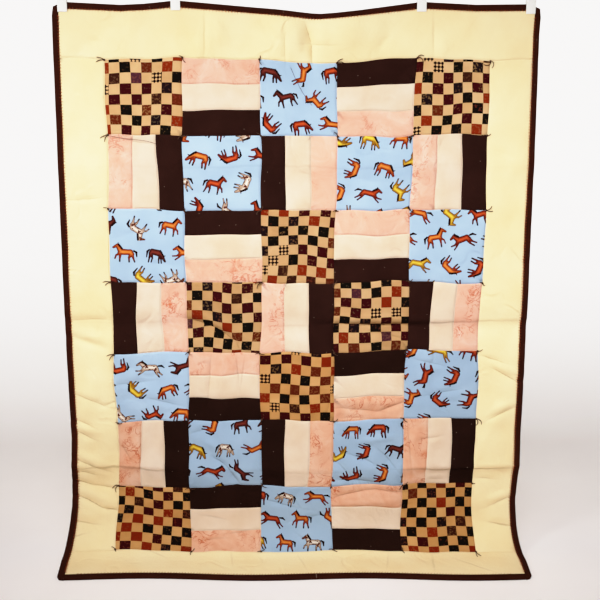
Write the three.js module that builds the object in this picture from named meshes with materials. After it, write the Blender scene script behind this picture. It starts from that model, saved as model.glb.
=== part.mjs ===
// Tied patchwork quilt, hung on four clips, with its foot turned forward along the floor.
// Millimetres, +Z up. The origin is the middle of the hanging line, level with the top edge
// at the two inner clips. The patchwork faces -Y.
import * as THREE from 'three';

// Patchwork: the letters are block kinds, row by row from the top.
// W is a whole square, = is three strips lying across, | is three strips standing up.
const BLOCK_ROWS = ['W=W=W', '|W|W|', 'W=W=W', '|W|W|', 'W=W=W', '|W|W|', 'W=W=W'];
const BLOCK_WIDE = 190;
const BLOCK_TALL = 188;
const STRIPS = 3;
const SIDE_MARGIN = 120;
const TOP_MARGIN = 134;
const FOOT_MARGIN = 132;
const BINDING = 15.5;

// Hang: straight down, then a quarter bend forward, then flat on the floor.
const HANG = 1345;
const BEND = 95;

// Thickness, measured from the middle of the sheet.
const SEAM_HALF = 2.2;
const FRONT_PUFF = { whole: 2.4, strip: 1.9, border: 2.3 };
const BACK_PUFF_SHARE = 0.45;
const BINDING_INNER = 2.5;
const BINDING_OUTER = 3.5;
const BINDING_NOSE = 1.2;
const EDGE_TUCK = 1.8;
const GAP = 0.3;

// Stations: steps across a block and across a border.
const BLOCK_STEPS = 6;
const BORDER_STEPS = 3;

// Clips, by their place along the hanging line.
const CLIP_PLACES = [-568, -298, 296, 562];
const CLIP = {
  wide: 23,
  reach: 23,
  jaw: 2.6,
  open: 3.85,
  roof: 1.3,
  bridge: 9,
  waist: 2.85,
  rise: 30,
  spread: 12,
  grip: 2.6,
};

// The top edge sags between the clips and droops at its two corners.
const TOP_LINE = [
  { x: -595, drop: 13 },
  { x: -568, drop: 5 },
  { x: -430, drop: 11 },
  { x: -298, drop: 0 },
  { x: 48, drop: 31 },
  { x: 296, drop: 0 },
  { x: 430, drop: 6 },
  { x: 562, drop: 4 },
  { x: 595, drop: 12 },
];
const SAG_FADE = 140;
const CORNER_ROUND = { pull: 3.2, reach: 26 };

// The side edges wander in and out, and splay where the foot lies on the floor.
const EDGE_SWAY = [
  { v: 0, left: -1, right: -6 },
  { v: 75, left: 0, right: -8 },
  { v: 315, left: 1, right: -3 },
  { v: 800, left: 3, right: 4 },
  { v: 1115, left: -1, right: 4 },
  { v: 1215, left: 4, right: 6 },
  { v: 1315, left: 8, right: 1 },
  { v: 1415, left: 22, right: 9 },
  { v: 1485, left: 30, right: 15 },
  { v: 1582, left: 27, right: 10 },
];
const SWAY_POWER = 5;
const FOOT = { start: 1262, skew: 14, wave: 6, pitch: 560, crest: -110 };

// Soft folds: a ridge (or trough, below zero) about a place, leaning with the height.
const FOLDS = [
  { x: -228, v: 80, wide: 30, tall: 70, lean: 0.25, depth: 5 },
  { x: -120, v: 70, wide: 38, tall: 75, lean: 0.15, depth: -5 },
  { x: -40, v: 70, wide: 34, tall: 65, lean: 0.05, depth: 6 },
  { x: 28, v: 75, wide: 26, tall: 60, lean: 0, depth: -9 },
  { x: 120, v: 80, wide: 44, tall: 75, lean: -0.15, depth: 6 },
  { x: 350, v: 90, wide: 40, tall: 70, lean: -0.1, depth: 4 },
  { x: -500, v: 90, wide: 36, tall: 60, lean: 0.9, depth: -5 },
  { x: -535, v: 1000, wide: 60, tall: 190, lean: 0.35, depth: 7 },
  { x: -505, v: 1240, wide: 50, tall: 110, lean: 0.6, depth: -7 },
  { x: 500, v: 1290, wide: 55, tall: 80, lean: -0.5, depth: 8 },
  { x: 545, v: 620, wide: 60, tall: 260, lean: 0, depth: -6 },
];

// Storage creases that run across the quilt.
const CREASES = [
  { v: 395, tall: 34, depth: 3 },
  { v: 809, tall: 30, depth: -5 },
  { v: 1223, tall: 34, depth: 5 },
];
const WAVE = { depth: 4, pitch: 610, crest: 60 };
const TOP_BOW = { depth: 13, v: 45, tall: 75 };
const HOLD = { near: 46, far: 120, short: 50, long: 125 };

// Ties: a knot with two tails. Angles turn from +X towards the top edge, in degrees. Ties
// that the table leaves out are spun by a fixed step from one block corner to the next.
const TIE = { knot: 2.2, root: 1, tip: 0.7, tail: 22, lift: 1.2, curl: 28 };
const TAIL_STOPS = { root: 0.16, middle: 0.6, tip: 1 };
const TIE_SPIN = { row: 67, col: 131, apart: 150 };
const TIE_TAILS = [
  { row: 0, col: 0, first: 135, second: 170 },
  { row: 0, col: 3, first: 40, second: 75 },
  { row: 0, col: 4, first: 85, second: 30 },
  { row: 0, col: 5, first: 15, second: -60 },
  { row: 1, col: 0, first: 175, second: 215 },
  { row: 1, col: 4, first: 165, second: 200 },
  { row: 2, col: 5, first: -35, second: 10 },
  { row: 3, col: 0, first: 180, second: 150 },
  { row: 3, col: 2, first: 160, second: 195 },
  { row: 4, col: 0, first: 165, second: 205 },
  { row: 5, col: 5, first: -30, second: 15 },
  { row: 6, col: 0, first: 190, second: 150 },
  { row: 7, col: 5, first: -75, second: -105 },
];

// Sizes worked out from the ones above
const COLUMNS = BLOCK_ROWS[0].length;
const ROWS = BLOCK_ROWS.length;
const PATCH_HALF = (COLUMNS * BLOCK_WIDE) / 2;
const HALF_WIDTH = PATCH_HALF + SIDE_MARGIN;
const LENGTH = TOP_MARGIN + ROWS * BLOCK_TALL + FOOT_MARGIN;
const DEEPEST_SAG = Math.max(...TOP_LINE.map((row) => row.drop));
const { smoothstep, lerp, degToRad, clamp } = THREE.MathUtils;

const FABRIC = new THREE.MeshStandardMaterial({ color: '#e3d0a8', roughness: 0.95, metalness: 0 });
const BROWN_COTTON = new THREE.MeshStandardMaterial({ color: '#2e1812', roughness: 0.9, metalness: 0 });
const BROWN_THREAD = new THREE.MeshStandardMaterial({ color: '#3a2219', roughness: 0.85, metalness: 0 });
const WHITE_PLASTIC = new THREE.MeshStandardMaterial({ color: '#f1efe9', roughness: 0.4, metalness: 0 });

// Value of one column of a table, straight between its rows.
function along(table, key, at, column) {
  const last = table.length - 1;
  const next = clamp(table.findIndex((row) => row[key] > at), at >= table[last][key] ? last : 1, last);
  const from = table[next - 1];
  const to = table[next];
  const share = clamp((at - from[key]) / (to[key] - from[key]), 0, 1);
  return lerp(from[column], to[column], share);
}

const bell = (distance, reach) => Math.exp(-((distance / reach) ** 2));
const topDrop = (x) => along(TOP_LINE, 'x', x, 'drop');

// How firmly the clips hold the cloth flat at a place: 1 in the jaws, 0 away from them.
function held(x, v) {
  const nearest = Math.min(...CLIP_PLACES.map((place) => Math.abs(x - place)));
  return (1 - smoothstep(nearest, HOLD.near, HOLD.far)) * (1 - smoothstep(v, HOLD.short, HOLD.long));
}

// Folds, creases and the slack of the top edge, as a push out of the sheet. The binding is
// stiff across its own width, so the edge moves as one with the binding's inner side.
function relief(flatX, flatV) {
  const x = clamp(flatX, BINDING - HALF_WIDTH, HALF_WIDTH - BINDING);
  const v = clamp(flatV, BINDING, LENGTH - BINDING);
  let push = TOP_BOW.depth * (topDrop(x) / DEEPEST_SAG) * bell(v - TOP_BOW.v, TOP_BOW.tall);
  for (const fold of FOLDS) {
    const off = x - fold.x + fold.lean * (v - fold.v);
    push += fold.depth * bell(off, fold.wide) * bell(v - fold.v, fold.tall);
  }
  for (const crease of CREASES) {
    push += crease.depth * bell(v - crease.v, crease.tall);
  }
  const waveTurn = (2 * Math.PI * (x - WAVE.crest)) / WAVE.pitch;
  push += WAVE.depth * Math.cos(waveTurn) * Math.sin((Math.PI * v) / HANG);
  const standing = 1 - smoothstep(v, HANG - BEND, HANG + BEND);
  return push * standing * (1 - held(x, v));
}

// Middle of the sheet at a flat place: x across from the centre line, v down from the top edge.
function sheetPoint(x, v) {
  const share = x / HALF_WIDTH;
  const sway = along(EDGE_SWAY, 'v', v, share < 0 ? 'left' : 'right');
  const fromCorner = Math.hypot(HALF_WIDTH - Math.abs(x), v);
  const pull = CORNER_ROUND.pull * Math.max(0, 1 - fromCorner / CORNER_ROUND.reach);
  const across = x + Math.sign(x) * (sway * Math.abs(share) ** SWAY_POWER - pull);

  const footShare = smoothstep(v, FOOT.start, LENGTH);
  const footWave = FOOT.wave * Math.cos((2 * Math.PI * (x - FOOT.crest)) / FOOT.pitch);
  const down = v + pull + topDrop(x) * Math.exp(-v / SAG_FADE) + footShare * (FOOT.skew * share + footWave);

  const turn = clamp((down - HANG) / BEND, 0, Math.PI / 2);
  const flat = Math.max(0, down - HANG - (BEND * Math.PI) / 2);
  const y = -BEND * (1 - Math.cos(turn)) - flat;
  const z = -Math.min(down, HANG) - BEND * Math.sin(turn);
  const push = relief(x, v);
  return new THREE.Vector3(across, y - push * Math.cos(turn), z + push * Math.sin(turn));
}

// Direction out of the patchwork face at a flat place.
function sheetNormal(x, v) {
  const step = 1;
  const down = sheetPoint(x, v + step).sub(sheetPoint(x, v - step));
  const side = sheetPoint(x + step, v).sub(sheetPoint(x - step, v));
  return down.cross(side).normalize();
}

const offSheet = (x, v, lift) => sheetPoint(x, v).addScaledVector(sheetNormal(x, v), lift);

// Puff of the face between its seams: 0 on a seam, full in the middle of a strip or a square.
function puff(x, v) {
  const col = (x + PATCH_HALF) / BLOCK_WIDE;
  const row = (v - TOP_MARGIN) / BLOCK_TALL;
  const swell = (share) => Math.abs(Math.sin(Math.PI * share));
  if (col < 0 || col > COLUMNS || row < 0 || row > ROWS) {
    const sideShare = (HALF_WIDTH - Math.abs(x) - BINDING) / (SIDE_MARGIN - BINDING);
    const topShare = (v - BINDING) / (TOP_MARGIN - BINDING);
    const footShare = (LENGTH - v - BINDING) / (FOOT_MARGIN - BINDING);
    const shares = [sideShare, topShare, footShare].map((share) => clamp(share, 0, 1));
    return FRONT_PUFF.border * swell(Math.min(...shares));
  }
  const across = col - Math.floor(col);
  const down = row - Math.floor(row);
  const kind = BLOCK_ROWS[Math.min(Math.floor(row), ROWS - 1)][Math.min(Math.floor(col), COLUMNS - 1)];
  if (kind === '=') return FRONT_PUFF.strip * swell(STRIPS * down) * Math.sqrt(swell(across));
  if (kind === '|') return FRONT_PUFF.strip * swell(STRIPS * across) * Math.sqrt(swell(down));
  return FRONT_PUFF.whole * Math.sqrt(swell(across) * swell(down));
}

// Flat places of the grid lines from one edge to the other: border, blocks, border.
function stations(from, firstMargin, blocks, blockSize, lastMargin) {
  const borderStep = (margin) => (margin - BINDING) / BORDER_STEPS;
  const end = from + firstMargin + blocks * blockSize + lastMargin;
  const places = [from + EDGE_TUCK];
  for (let i = 0; i < BORDER_STEPS; i += 1) places.push(from + BINDING + i * borderStep(firstMargin));
  for (let i = 0; i <= blocks * BLOCK_STEPS; i += 1) {
    places.push(from + firstMargin + (i * blockSize) / BLOCK_STEPS);
  }
  for (let i = BORDER_STEPS - 1; i >= 0; i -= 1) places.push(end - BINDING - i * borderStep(lastMargin));
  places.push(end - EDGE_TUCK);
  return places;
}

const X_PLACES = stations(-HALF_WIDTH, SIDE_MARGIN, COLUMNS, BLOCK_WIDE, SIDE_MARGIN);
const V_PLACES = stations(0, TOP_MARGIN, ROWS, BLOCK_TALL, FOOT_MARGIN);

// A closed body from points and triangles, with its faces turned outwards.
function closedBody(points, triangles) {
  const volume = triangles.reduce((sum, [a, b, c]) => {
    const cross = new THREE.Vector3().crossVectors(points[b], points[c]);
    return sum + points[a].dot(cross);
  }, 0);
  const outward = volume < 0 ? triangles.map(([a, b, c]) => [a, c, b]) : triangles;
  const geometry = new THREE.BufferGeometry().setFromPoints(points);
  geometry.setIndex(outward.flat());
  geometry.computeVertexNormals();
  return geometry;
}

// A body swept through rings of points, each ring with the same count, its two ends capped.
function sweptBody(rings, capTriangles) {
  const count = rings[0].length;
  const triangles = [];
  for (let ring = 0; ring < rings.length - 1; ring += 1) {
    for (let i = 0; i < count; i += 1) {
      const a = ring * count + i;
      const b = ring * count + ((i + 1) % count);
      triangles.push([a, b, b + count], [a, b + count, a + count]);
    }
  }
  const last = (rings.length - 1) * count;
  for (const [a, b, c] of capTriangles) {
    triangles.push([a, c, b], [last + a, last + b, last + c]);
  }
  return closedBody(rings.flat(), triangles);
}

// Quilted sheet: front and back grids joined round the rim.
function quiltBody() {
  const columns = X_PLACES.length;
  const face = (lift) => V_PLACES.flatMap((v) => X_PLACES.map((x) => offSheet(x, v, lift(x, v))));
  const front = face((x, v) => SEAM_HALF + puff(x, v));
  const back = face((x, v) => -SEAM_HALF - BACK_PUFF_SHARE * puff(x, v));
  const behind = front.length;
  const triangles = [];
  for (let row = 0; row < V_PLACES.length - 1; row += 1) {
    for (let col = 0; col < columns - 1; col += 1) {
      const a = row * columns + col;
      const b = a + 1;
      const c = a + columns + 1;
      const d = a + columns;
      triangles.push([a, c, b], [a, d, c]);
      triangles.push([behind + a, behind + b, behind + c], [behind + a, behind + c, behind + d]);
    }
  }
  const rim = [];
  for (let col = 0; col < columns - 1; col += 1) rim.push(col);
  for (let row = 0; row < V_PLACES.length - 1; row += 1) rim.push(row * columns + columns - 1);
  for (let col = columns - 1; col > 0; col -= 1) rim.push((V_PLACES.length - 1) * columns + col);
  for (let row = V_PLACES.length - 1; row > 0; row -= 1) rim.push(row * columns);
  rim.forEach((a, i) => {
    const b = rim[(i + 1) % rim.length];
    triangles.push([a, b, behind + b], [a, behind + b, behind + a]);
  });
  return closedBody([...front, ...back], triangles);
}

// Binding: a folded strip round the edge, open inwards. place gives the flat place of a point
// from its station along the edge and its distance in from the edge.
function bindingStrip(places, place) {
  const section = [
    [BINDING, BINDING_OUTER],
    [BINDING_NOSE, BINDING_OUTER],
    [0, 0],
    [BINDING_NOSE, -BINDING_OUTER],
    [BINDING, -BINDING_OUTER],
    [BINDING, -BINDING_INNER],
    [EDGE_TUCK - GAP, -BINDING_INNER],
    [EDGE_TUCK - GAP, BINDING_INNER],
    [BINDING, BINDING_INNER],
  ];
  const outline = section.map(([inward, lift]) => new THREE.Vector2(inward, lift));
  const caps = THREE.ShapeUtils.triangulateShape(outline, []);
  const rings = places.map((station) => section.map(([inward, lift]) => {
    const [x, v] = place(station, inward);
    return offSheet(x, v, lift);
  }));
  return sweptBody(rings, caps);
}

// Front face of the quilted sheet between its grid lines.
function frontPoint(x, v) {
  const cell = (places, at) => clamp(places.findIndex((place) => place > at), 1, places.length - 1);
  const col = cell(X_PLACES, x);
  const row = cell(V_PLACES, v);
  const acrossShare = (x - X_PLACES[col - 1]) / (X_PLACES[col] - X_PLACES[col - 1]);
  const downShare = (v - V_PLACES[row - 1]) / (V_PLACES[row] - V_PLACES[row - 1]);
  const corner = (c, r) => {
    const flatX = X_PLACES[c];
    const flatV = V_PLACES[r];
    return offSheet(flatX, flatV, SEAM_HALF + puff(flatX, flatV));
  };
  const upper = corner(col - 1, row - 1).lerp(corner(col, row - 1), acrossShare);
  const lower = corner(col - 1, row).lerp(corner(col, row), acrossShare);
  return upper.lerp(lower, downShare);
}

// Tie: a thread through a knot at a block corner, with a free tail on each side of it.
function threadTie(x, v, first, second) {
  const tailPlace = (angle, share) => {
    const heading = degToRad(angle + TIE.curl * share);
    const reach = TIE.tail * share;
    return [x + reach * Math.cos(heading), v - reach * Math.sin(heading)];
  };
  const stops = [
    { flat: tailPlace(first, TAIL_STOPS.tip), radius: TIE.tip, lift: TIE.lift },
    { flat: tailPlace(first, TAIL_STOPS.middle), radius: TIE.root, lift: TIE.lift },
    { flat: tailPlace(first, TAIL_STOPS.root), radius: TIE.root, lift: TIE.lift },
    { flat: [x, v], radius: TIE.knot, lift: 0 },
    { flat: tailPlace(second, TAIL_STOPS.root), radius: TIE.root, lift: TIE.lift },
    { flat: tailPlace(second, TAIL_STOPS.middle), radius: TIE.root, lift: TIE.lift },
    { flat: tailPlace(second, TAIL_STOPS.tip), radius: TIE.tip, lift: TIE.lift },
  ];
  const normal = sheetNormal(x, v);
  const centres = stops.map(({ flat, radius, lift }) => {
    return frontPoint(...flat).addScaledVector(normal, GAP + radius + lift);
  });
  const rings = stops.map(({ radius }, i) => {
    const before = centres[Math.max(i - 1, 0)];
    const after = centres[Math.min(i + 1, centres.length - 1)];
    const side = new THREE.Vector3().subVectors(after, before).cross(normal).normalize();
    const out = (direction, reach) => centres[i].clone().addScaledVector(direction, reach);
    return [out(side, radius), out(normal, radius), out(side, -radius), out(normal, -radius)];
  });
  return sweptBody(rings, [[0, 1, 2], [0, 2, 3]]);
}

// Clip: two jaws over the top edge, a bridge above it and two grips that spread apart.
function hangerClip() {
  const outer = CLIP.open + CLIP.jaw;
  const half = [
    [CLIP.open, -CLIP.reach],
    [outer, -CLIP.reach],
    [outer, CLIP.bridge / 2],
    [CLIP.spread, CLIP.rise],
    [CLIP.spread - CLIP.grip, CLIP.rise],
    [CLIP.waist, CLIP.bridge],
  ];
  const mirrored = half.map(([y, z]) => [-y, z]).reverse();
  const roof = [[-CLIP.open, CLIP.roof], [CLIP.open, CLIP.roof]];
  const outline = [...half, ...mirrored, ...roof].map(([y, z]) => new THREE.Vector2(y, z));
  const geometry = new THREE.ExtrudeGeometry(new THREE.Shape(outline), {
    depth: CLIP.wide,
    bevelEnabled: false,
  });
  geometry.translate(0, 0, -CLIP.wide / 2);
  // The profile's first axis becomes Y, its second Z, and the extrusion runs along X.
  const turned = new THREE.Matrix4().makeBasis(
    new THREE.Vector3(0, 1, 0),
    new THREE.Vector3(0, 0, 1),
    new THREE.Vector3(1, 0, 0),
  );
  return geometry.applyMatrix4(turned);
}

const quilt = new THREE.Group();

function addPiece(name, geometry, material) {
  const piece = new THREE.Mesh(geometry, material);
  piece.name = name;
  quilt.add(piece);
  return piece;
}

addPiece('quilt_body', quiltBody(), FABRIC);

const sideStations = [0, ...V_PLACES.slice(1, -1), LENGTH];
const crossStart = HALF_WIDTH - BINDING - GAP;
const crossStations = [-crossStart, ...X_PLACES.slice(2, -2), crossStart];
const bindings = [
  { side: 'left', places: sideStations, place: (station, inward) => [inward - HALF_WIDTH, station] },
  { side: 'right', places: sideStations, place: (station, inward) => [HALF_WIDTH - inward, station] },
  { side: 'top', places: crossStations, place: (station, inward) => [station, inward] },
  { side: 'foot', places: crossStations, place: (station, inward) => [station, LENGTH - inward] },
];
for (const { side, places, place } of bindings) {
  addPiece(`binding_${side}`, bindingStrip(places, place), BROWN_COTTON);
}

CLIP_PLACES.forEach((place, i) => {
  const clip = addPiece(`clip_${i + 1}`, hangerClip(), WHITE_PLASTIC);
  clip.position.set(place, 0, -topDrop(place));
});

for (let row = 0; row <= ROWS; row += 1) {
  for (let col = 0; col <= COLUMNS; col += 1) {
    const seen = TIE_TAILS.find((tie) => tie.row === row && tie.col === col);
    const spun = TIE_SPIN.row * row + TIE_SPIN.col * col;
    const first = seen ? seen.first : spun;
    const second = seen ? seen.second : spun + TIE_SPIN.apart;
    const x = col * BLOCK_WIDE - PATCH_HALF;
    const v = TOP_MARGIN + row * BLOCK_TALL;
    addPiece(`tie_${row}_${col}`, threadTie(x, v, first, second), BROWN_THREAD);
  }
}

export default quilt;
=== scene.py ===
import functools
import math

import bmesh
import bpy
import numpy as np
from mathutils import Matrix, Vector


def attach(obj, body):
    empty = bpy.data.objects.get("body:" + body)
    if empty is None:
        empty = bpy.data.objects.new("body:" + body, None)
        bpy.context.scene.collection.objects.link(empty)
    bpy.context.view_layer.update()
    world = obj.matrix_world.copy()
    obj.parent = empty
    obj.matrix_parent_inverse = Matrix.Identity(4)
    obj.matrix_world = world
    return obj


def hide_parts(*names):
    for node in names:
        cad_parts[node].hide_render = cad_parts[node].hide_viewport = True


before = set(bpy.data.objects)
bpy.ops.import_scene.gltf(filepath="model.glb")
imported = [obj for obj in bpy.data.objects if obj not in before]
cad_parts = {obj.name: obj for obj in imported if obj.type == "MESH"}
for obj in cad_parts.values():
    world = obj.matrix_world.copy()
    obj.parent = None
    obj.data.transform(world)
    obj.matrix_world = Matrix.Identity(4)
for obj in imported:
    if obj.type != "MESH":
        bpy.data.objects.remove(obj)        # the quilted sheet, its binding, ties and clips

mm = 0.001
fullTurn = 2 * math.pi
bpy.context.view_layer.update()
scene = bpy.context.scene


# colours and nodes

def linear(hexColour):
    parts = [int(hexColour[i:i + 2], 16) / 255 for i in (1, 3, 5)]
    return [c / 12.92 if c < 0.04045 else ((c + 0.055) / 1.055) ** 2.4 for c in parts] + [1.0]


def setSockets(node, sockets):
    # a socket of another node is linked, a colour or a number is set
    for name, value in sockets.items():
        if isinstance(value, bpy.types.NodeSocket):
            node.id_data.links.new(value, node.inputs[name])
        else:
            node.inputs[name].default_value = linear(value) if isinstance(value, str) else value


def addNode(tree, kind, *values, out=0, stops=(), held=False, **named):
    # "Math ADD" is a kind and its operation; values fill the sockets in order or from a dictionary,
    # names are sockets or settings; stops and held are for colour ramps, out picks an output or all of them
    kind, _, operation = kind.partition(" ")
    node = tree.nodes.new("ShaderNode" + kind)
    if operation:
        node.operation = operation
    sockets = dict(values[0] if values and isinstance(values[0], dict) else enumerate(values))
    for name, value in named.items():
        if name in node.inputs:
            sockets[name] = value
        else:
            setattr(node, name, value)
    setSockets(node, sockets)
    for i, (at, colour) in enumerate(stops):
        ramp = node.color_ramp.elements
        stop = ramp[i] if i < len(ramp) else ramp.new(at)
        stop.position = at
        stop.color = linear(colour) if isinstance(colour, str) else [colour] * 3 + [1.0]
    if held:
        node.color_ramp.interpolation = "CONSTANT"
    return node.outputs if out is None else node.outputs[out]


def newMaterial(name):
    material = bpy.data.materials.new(name)
    material.use_nodes = True
    return material, functools.partial(addNode, material.node_tree)


def shade(material, **sockets):
    shader = material.node_tree.nodes["Principled BSDF"]
    setSockets(shader, {name.replace("_", " "): value for name, value in sockets.items()})
    return material


def layered(add, colour, *layers, blend="MIX"):
    # colours laid over one another, each with its share
    for share, over in layers:
        colour = add("Mix", {0: share, 6: colour, 7: over}, out=2, data_type="RGBA", blend_type=blend)
    return colour


# plain weave: threads are about 0.4 mm apart, drawn at 1.4 mm so that they show
weave = {"roughness": 0.95, "threadMm": 1.4, "threadDepth": 0.00012, "threadWobble": 0.6,
         "cockleMm": 26, "cockleDepth": 0.0014,
         "crinkleMm": 95, "crinkleDepth": 0.0012, "crinkleWide": 0.05, "shownMm": 120, "shown": (0.48, 0.66),
         "seamMm": 4.5, "seamDepth": 0.0016,
         "puckerMm": 13, "puckerFade": 11, "puckerDepth": 0.00045, "puckerWander": 26,
         # the crease line: its width, depth and wander, then the strength and colour of the painted shade
         # along it
         "lineMm": 5.0, "lineDepth": 0.0011, "lineWander": 7.0, "lineShade": 0.3, "creaseShadeTone": "#8a7350"}
waveUnit = fullTurn / 20        # a wave texture at scale 1 repeats after this length


def cotton(name, dye, *tones, shine=0.12, cockle=1.0, sewn=True):
    # matt woven cloth, a little rumpled; dye gives the colour for a place on the flat cloth
    material, add = newMaterial(name)
    # in mm: along, across, and half over the patch number
    place = add("Attribute", out="Vector", attribute_name="clothPlace")
    colour = dye(add, place, *tones)

    threads = [add("TexWave", place, out="Fac", Scale=waveUnit / weave["threadMm"], Detail=1.0,
                   Distortion=weave["threadWobble"], bands_direction=direction) for direction in "XY"]
    height = add("Math MULTIPLY", add("Math MAXIMUM", *threads), weave["threadDepth"])
    rumple = add("TexNoise", place, out="Fac", Scale=1 / weave["cockleMm"], Detail=3.0, Roughness=0.55)
    height = add("Math MULTIPLY_ADD", rumple, weave["cockleDepth"] * cockle, height)

    # crinkles: thin valleys left by folding, here and there
    wander = add("TexNoise", place, out="Fac", Scale=1 / weave["crinkleMm"], Detail=1.0)
    offValley = add("Math ABSOLUTE", add("Math SUBTRACT", wander, 0.5))
    valley = add("MapRange", offValley, 0.0, weave["crinkleWide"], 1.0, 0.0,
                 interpolation_type="SMOOTHERSTEP")
    shown = add("TexNoise", place, out="Fac", Scale=1 / weave["shownMm"])
    shown = add("MapRange", shown, *weave["shown"])
    crinkle = add("Math MULTIPLY", valley, shown)
    height = add("Math MULTIPLY_ADD", crinkle, -weave["crinkleDepth"] * cockle, height)

    if sewn:     # the cloth sinks and puckers at its seams
        seamPlace = add("Attribute", out="Vector", attribute_name="seamPlace")
        offSeam, onSeam, _ = add("SeparateXYZ", seamPlace, out=None)
        rise = add("MapRange", offSeam, 0.0, weave["seamMm"], interpolation_type="SMOOTHSTEP")
        height = add("Math MULTIPLY_ADD", rise, weave["seamDepth"], height)
        uneven = add("Math MULTIPLY", rumple, weave["puckerWander"])
        phase = add("Math MULTIPLY_ADD", onSeam, fullTurn / weave["puckerMm"], uneven)
        fade = add("Math POWER", math.exp(-1 / weave["puckerFade"]), offSeam)
        fade = add("Math MULTIPLY", fade, shown)
        pucker = add("Math MULTIPLY", add("Math SINE", phase), fade)
        height = add("Math MULTIPLY_ADD", pucker, weave["puckerDepth"] * cockle, height)

        # the sharp line at the bottom of each main crease, with painted shade darkening it
        creasePlace = add("Attribute", out="Vector", attribute_name="creasePlace")
        offLine, strength, _ = add("SeparateXYZ", creasePlace, out=None)
        offLine = add("Math MULTIPLY_ADD", rumple, weave["lineWander"], offLine)
        offLine = add("Math ABSOLUTE", add("Math SUBTRACT", offLine, weave["lineWander"] / 2))
        pinch = add("MapRange", offLine, 0.0, weave["lineMm"], 1.0, 0.0, interpolation_type="SMOOTHERSTEP")
        pinch = add("Math MULTIPLY", pinch, strength)
        height = add("Math MULTIPLY_ADD", pinch, -weave["lineDepth"], height)
        # painted shade: the crease line's colour darkened as if in its own shadow
        paintedCreaseShade = add("Math MULTIPLY", pinch, weave["lineShade"])
        colour = layered(add, colour, (paintedCreaseShade, weave["creaseShadeTone"]), blend="MULTIPLY")
    normal = add("Bump", Height=height, Distance=1.0, Strength=1.0)
    return shade(material, Base_Color=colour, Roughness=weave["roughness"], Specular_IOR_Level=shine,
                 Normal=normal)


# fabrics

patchCount = 105      # seven rows of five blocks, with room for three strips in each


def shadeLowRows(add, place, colour, lowRowShade):
    # painted shade: the cloth drawn darker and warmer in the lower rows, where less light reaches; share of
    # the patches above it, tint
    share = add("Math DIVIDE", add("SeparateXYZ", place, out=2), patchCount)
    return layered(add, colour, (1.0, add("ValToRGB", share, stops=lowRowShade)), blend="MULTIPLY")


def plainDye(add, place, light, dark, cloudMm=140):
    # cotton dyed in the piece: one slightly uneven tone
    cloud = add("TexNoise", place, out="Fac", Scale=1 / cloudMm, Detail=4.0)
    return add("ValToRGB", cloud, stops=[(0.32, dark), (0.66, light)])


# sizes in mm, bounds of the noise where rust shows, patch numbers over which the rust grows stronger
marbling = {"mottleMm": 60, "peach": [(0.3, "#dda48a"), (0.52, "#e3b19a"), (0.7, "#e8c0ad")],
            "whereMm": 70, "where": (0.48, 0.62), "strength": (10, 70, 0.6, 1.0),
            "veinMm": 38, "vein": (0.0, 0.03, 1.0, 0.0), "veinTone": "#b9532c",
            "smearMm": 26, "smear": (0.55, 0.72, 0.0, 0.85), "smearTone": "#c9683a",
            # painted shade: the lower rows drawn darker and warmer
            "lowRowShade": [(0.58, "#ffffff"), (0.65, "#f6f0e4")]}


def marbledDye(add, place):
    # hand-dyed look: even peach with patches of rust veins and smears
    mottle = add("TexNoise", place, out="Fac", Scale=1 / marbling["mottleMm"], Detail=5.0, Roughness=0.6,
                 Distortion=0.8)
    base = add("ValToRGB", mottle, stops=marbling["peach"])
    where = add("TexNoise", place, out="Fac", Scale=1 / marbling["whereMm"])
    strength = add("MapRange", add("SeparateXYZ", place, out=2), *marbling["strength"])
    patchy = add("Math MULTIPLY", add("MapRange", where, *marbling["where"]), strength)
    veins = add("TexNoise", place, out="Fac", Scale=1 / marbling["veinMm"], Detail=6.0, Roughness=0.6,
                Distortion=1.4)
    vein = add("MapRange", add("Math ABSOLUTE", add("Math SUBTRACT", veins, 0.5)), *marbling["vein"])
    smears = add("TexNoise", place, out="Fac", Scale=1 / marbling["smearMm"], Detail=5.0, Roughness=0.65,
                 Distortion=1.0)
    smear = add("MapRange", smears, *marbling["smear"])
    colour = layered(add, base, (add("Math MULTIPLY", vein, patchy), marbling["veinTone"]),
                     (add("Math MULTIPLY", smear, patchy), marbling["smearTone"]))
    return shadeLowRows(add, place, colour, marbling["lowRowShade"])


checkPrint = {
    "squareMm": 26,
    "clothMm": 40, "clothShare": 0.6,
    "tan": [(0.2, "#bc9262"), (0.5, "#caa171"), (0.8, "#d5b082")],
    "dark": [(0.0, "#110b05"), (0.26, "#3a060a"), (0.47, "#130a06"), (0.57, "#7e280a"), (0.74, "#1c0e11"),
             (0.85, "#38190d"), (0.93, "#5c230d"), (0.975, "#4b2730")],
    # painted shade: the lower rows drawn darker and warmer
    "lowRowShade": [(0.1, "#ffffff"), (0.33, "#ebe7e5"), (0.54, "#ebe7e5"), (0.63, "#eddbc4")],
    "specks": [(0.0, "#7d7456"), (0.3, "#8a3a2c"), (0.55, "#a9875a"), (0.75, "#5b2c1e"), (1.0, "#c49a63")],
    "speckMm": 5.6, "fewest": 0.66, "denser": -0.13, "speckEdge": (0.0, 0.04, 0.0, 0.3),
    "latticeShare": 0.06, "latticeMm": 13, "latticeLine": 0.12, "latticeTones": ("#1d0d0a", "#caa171"),
}


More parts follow.
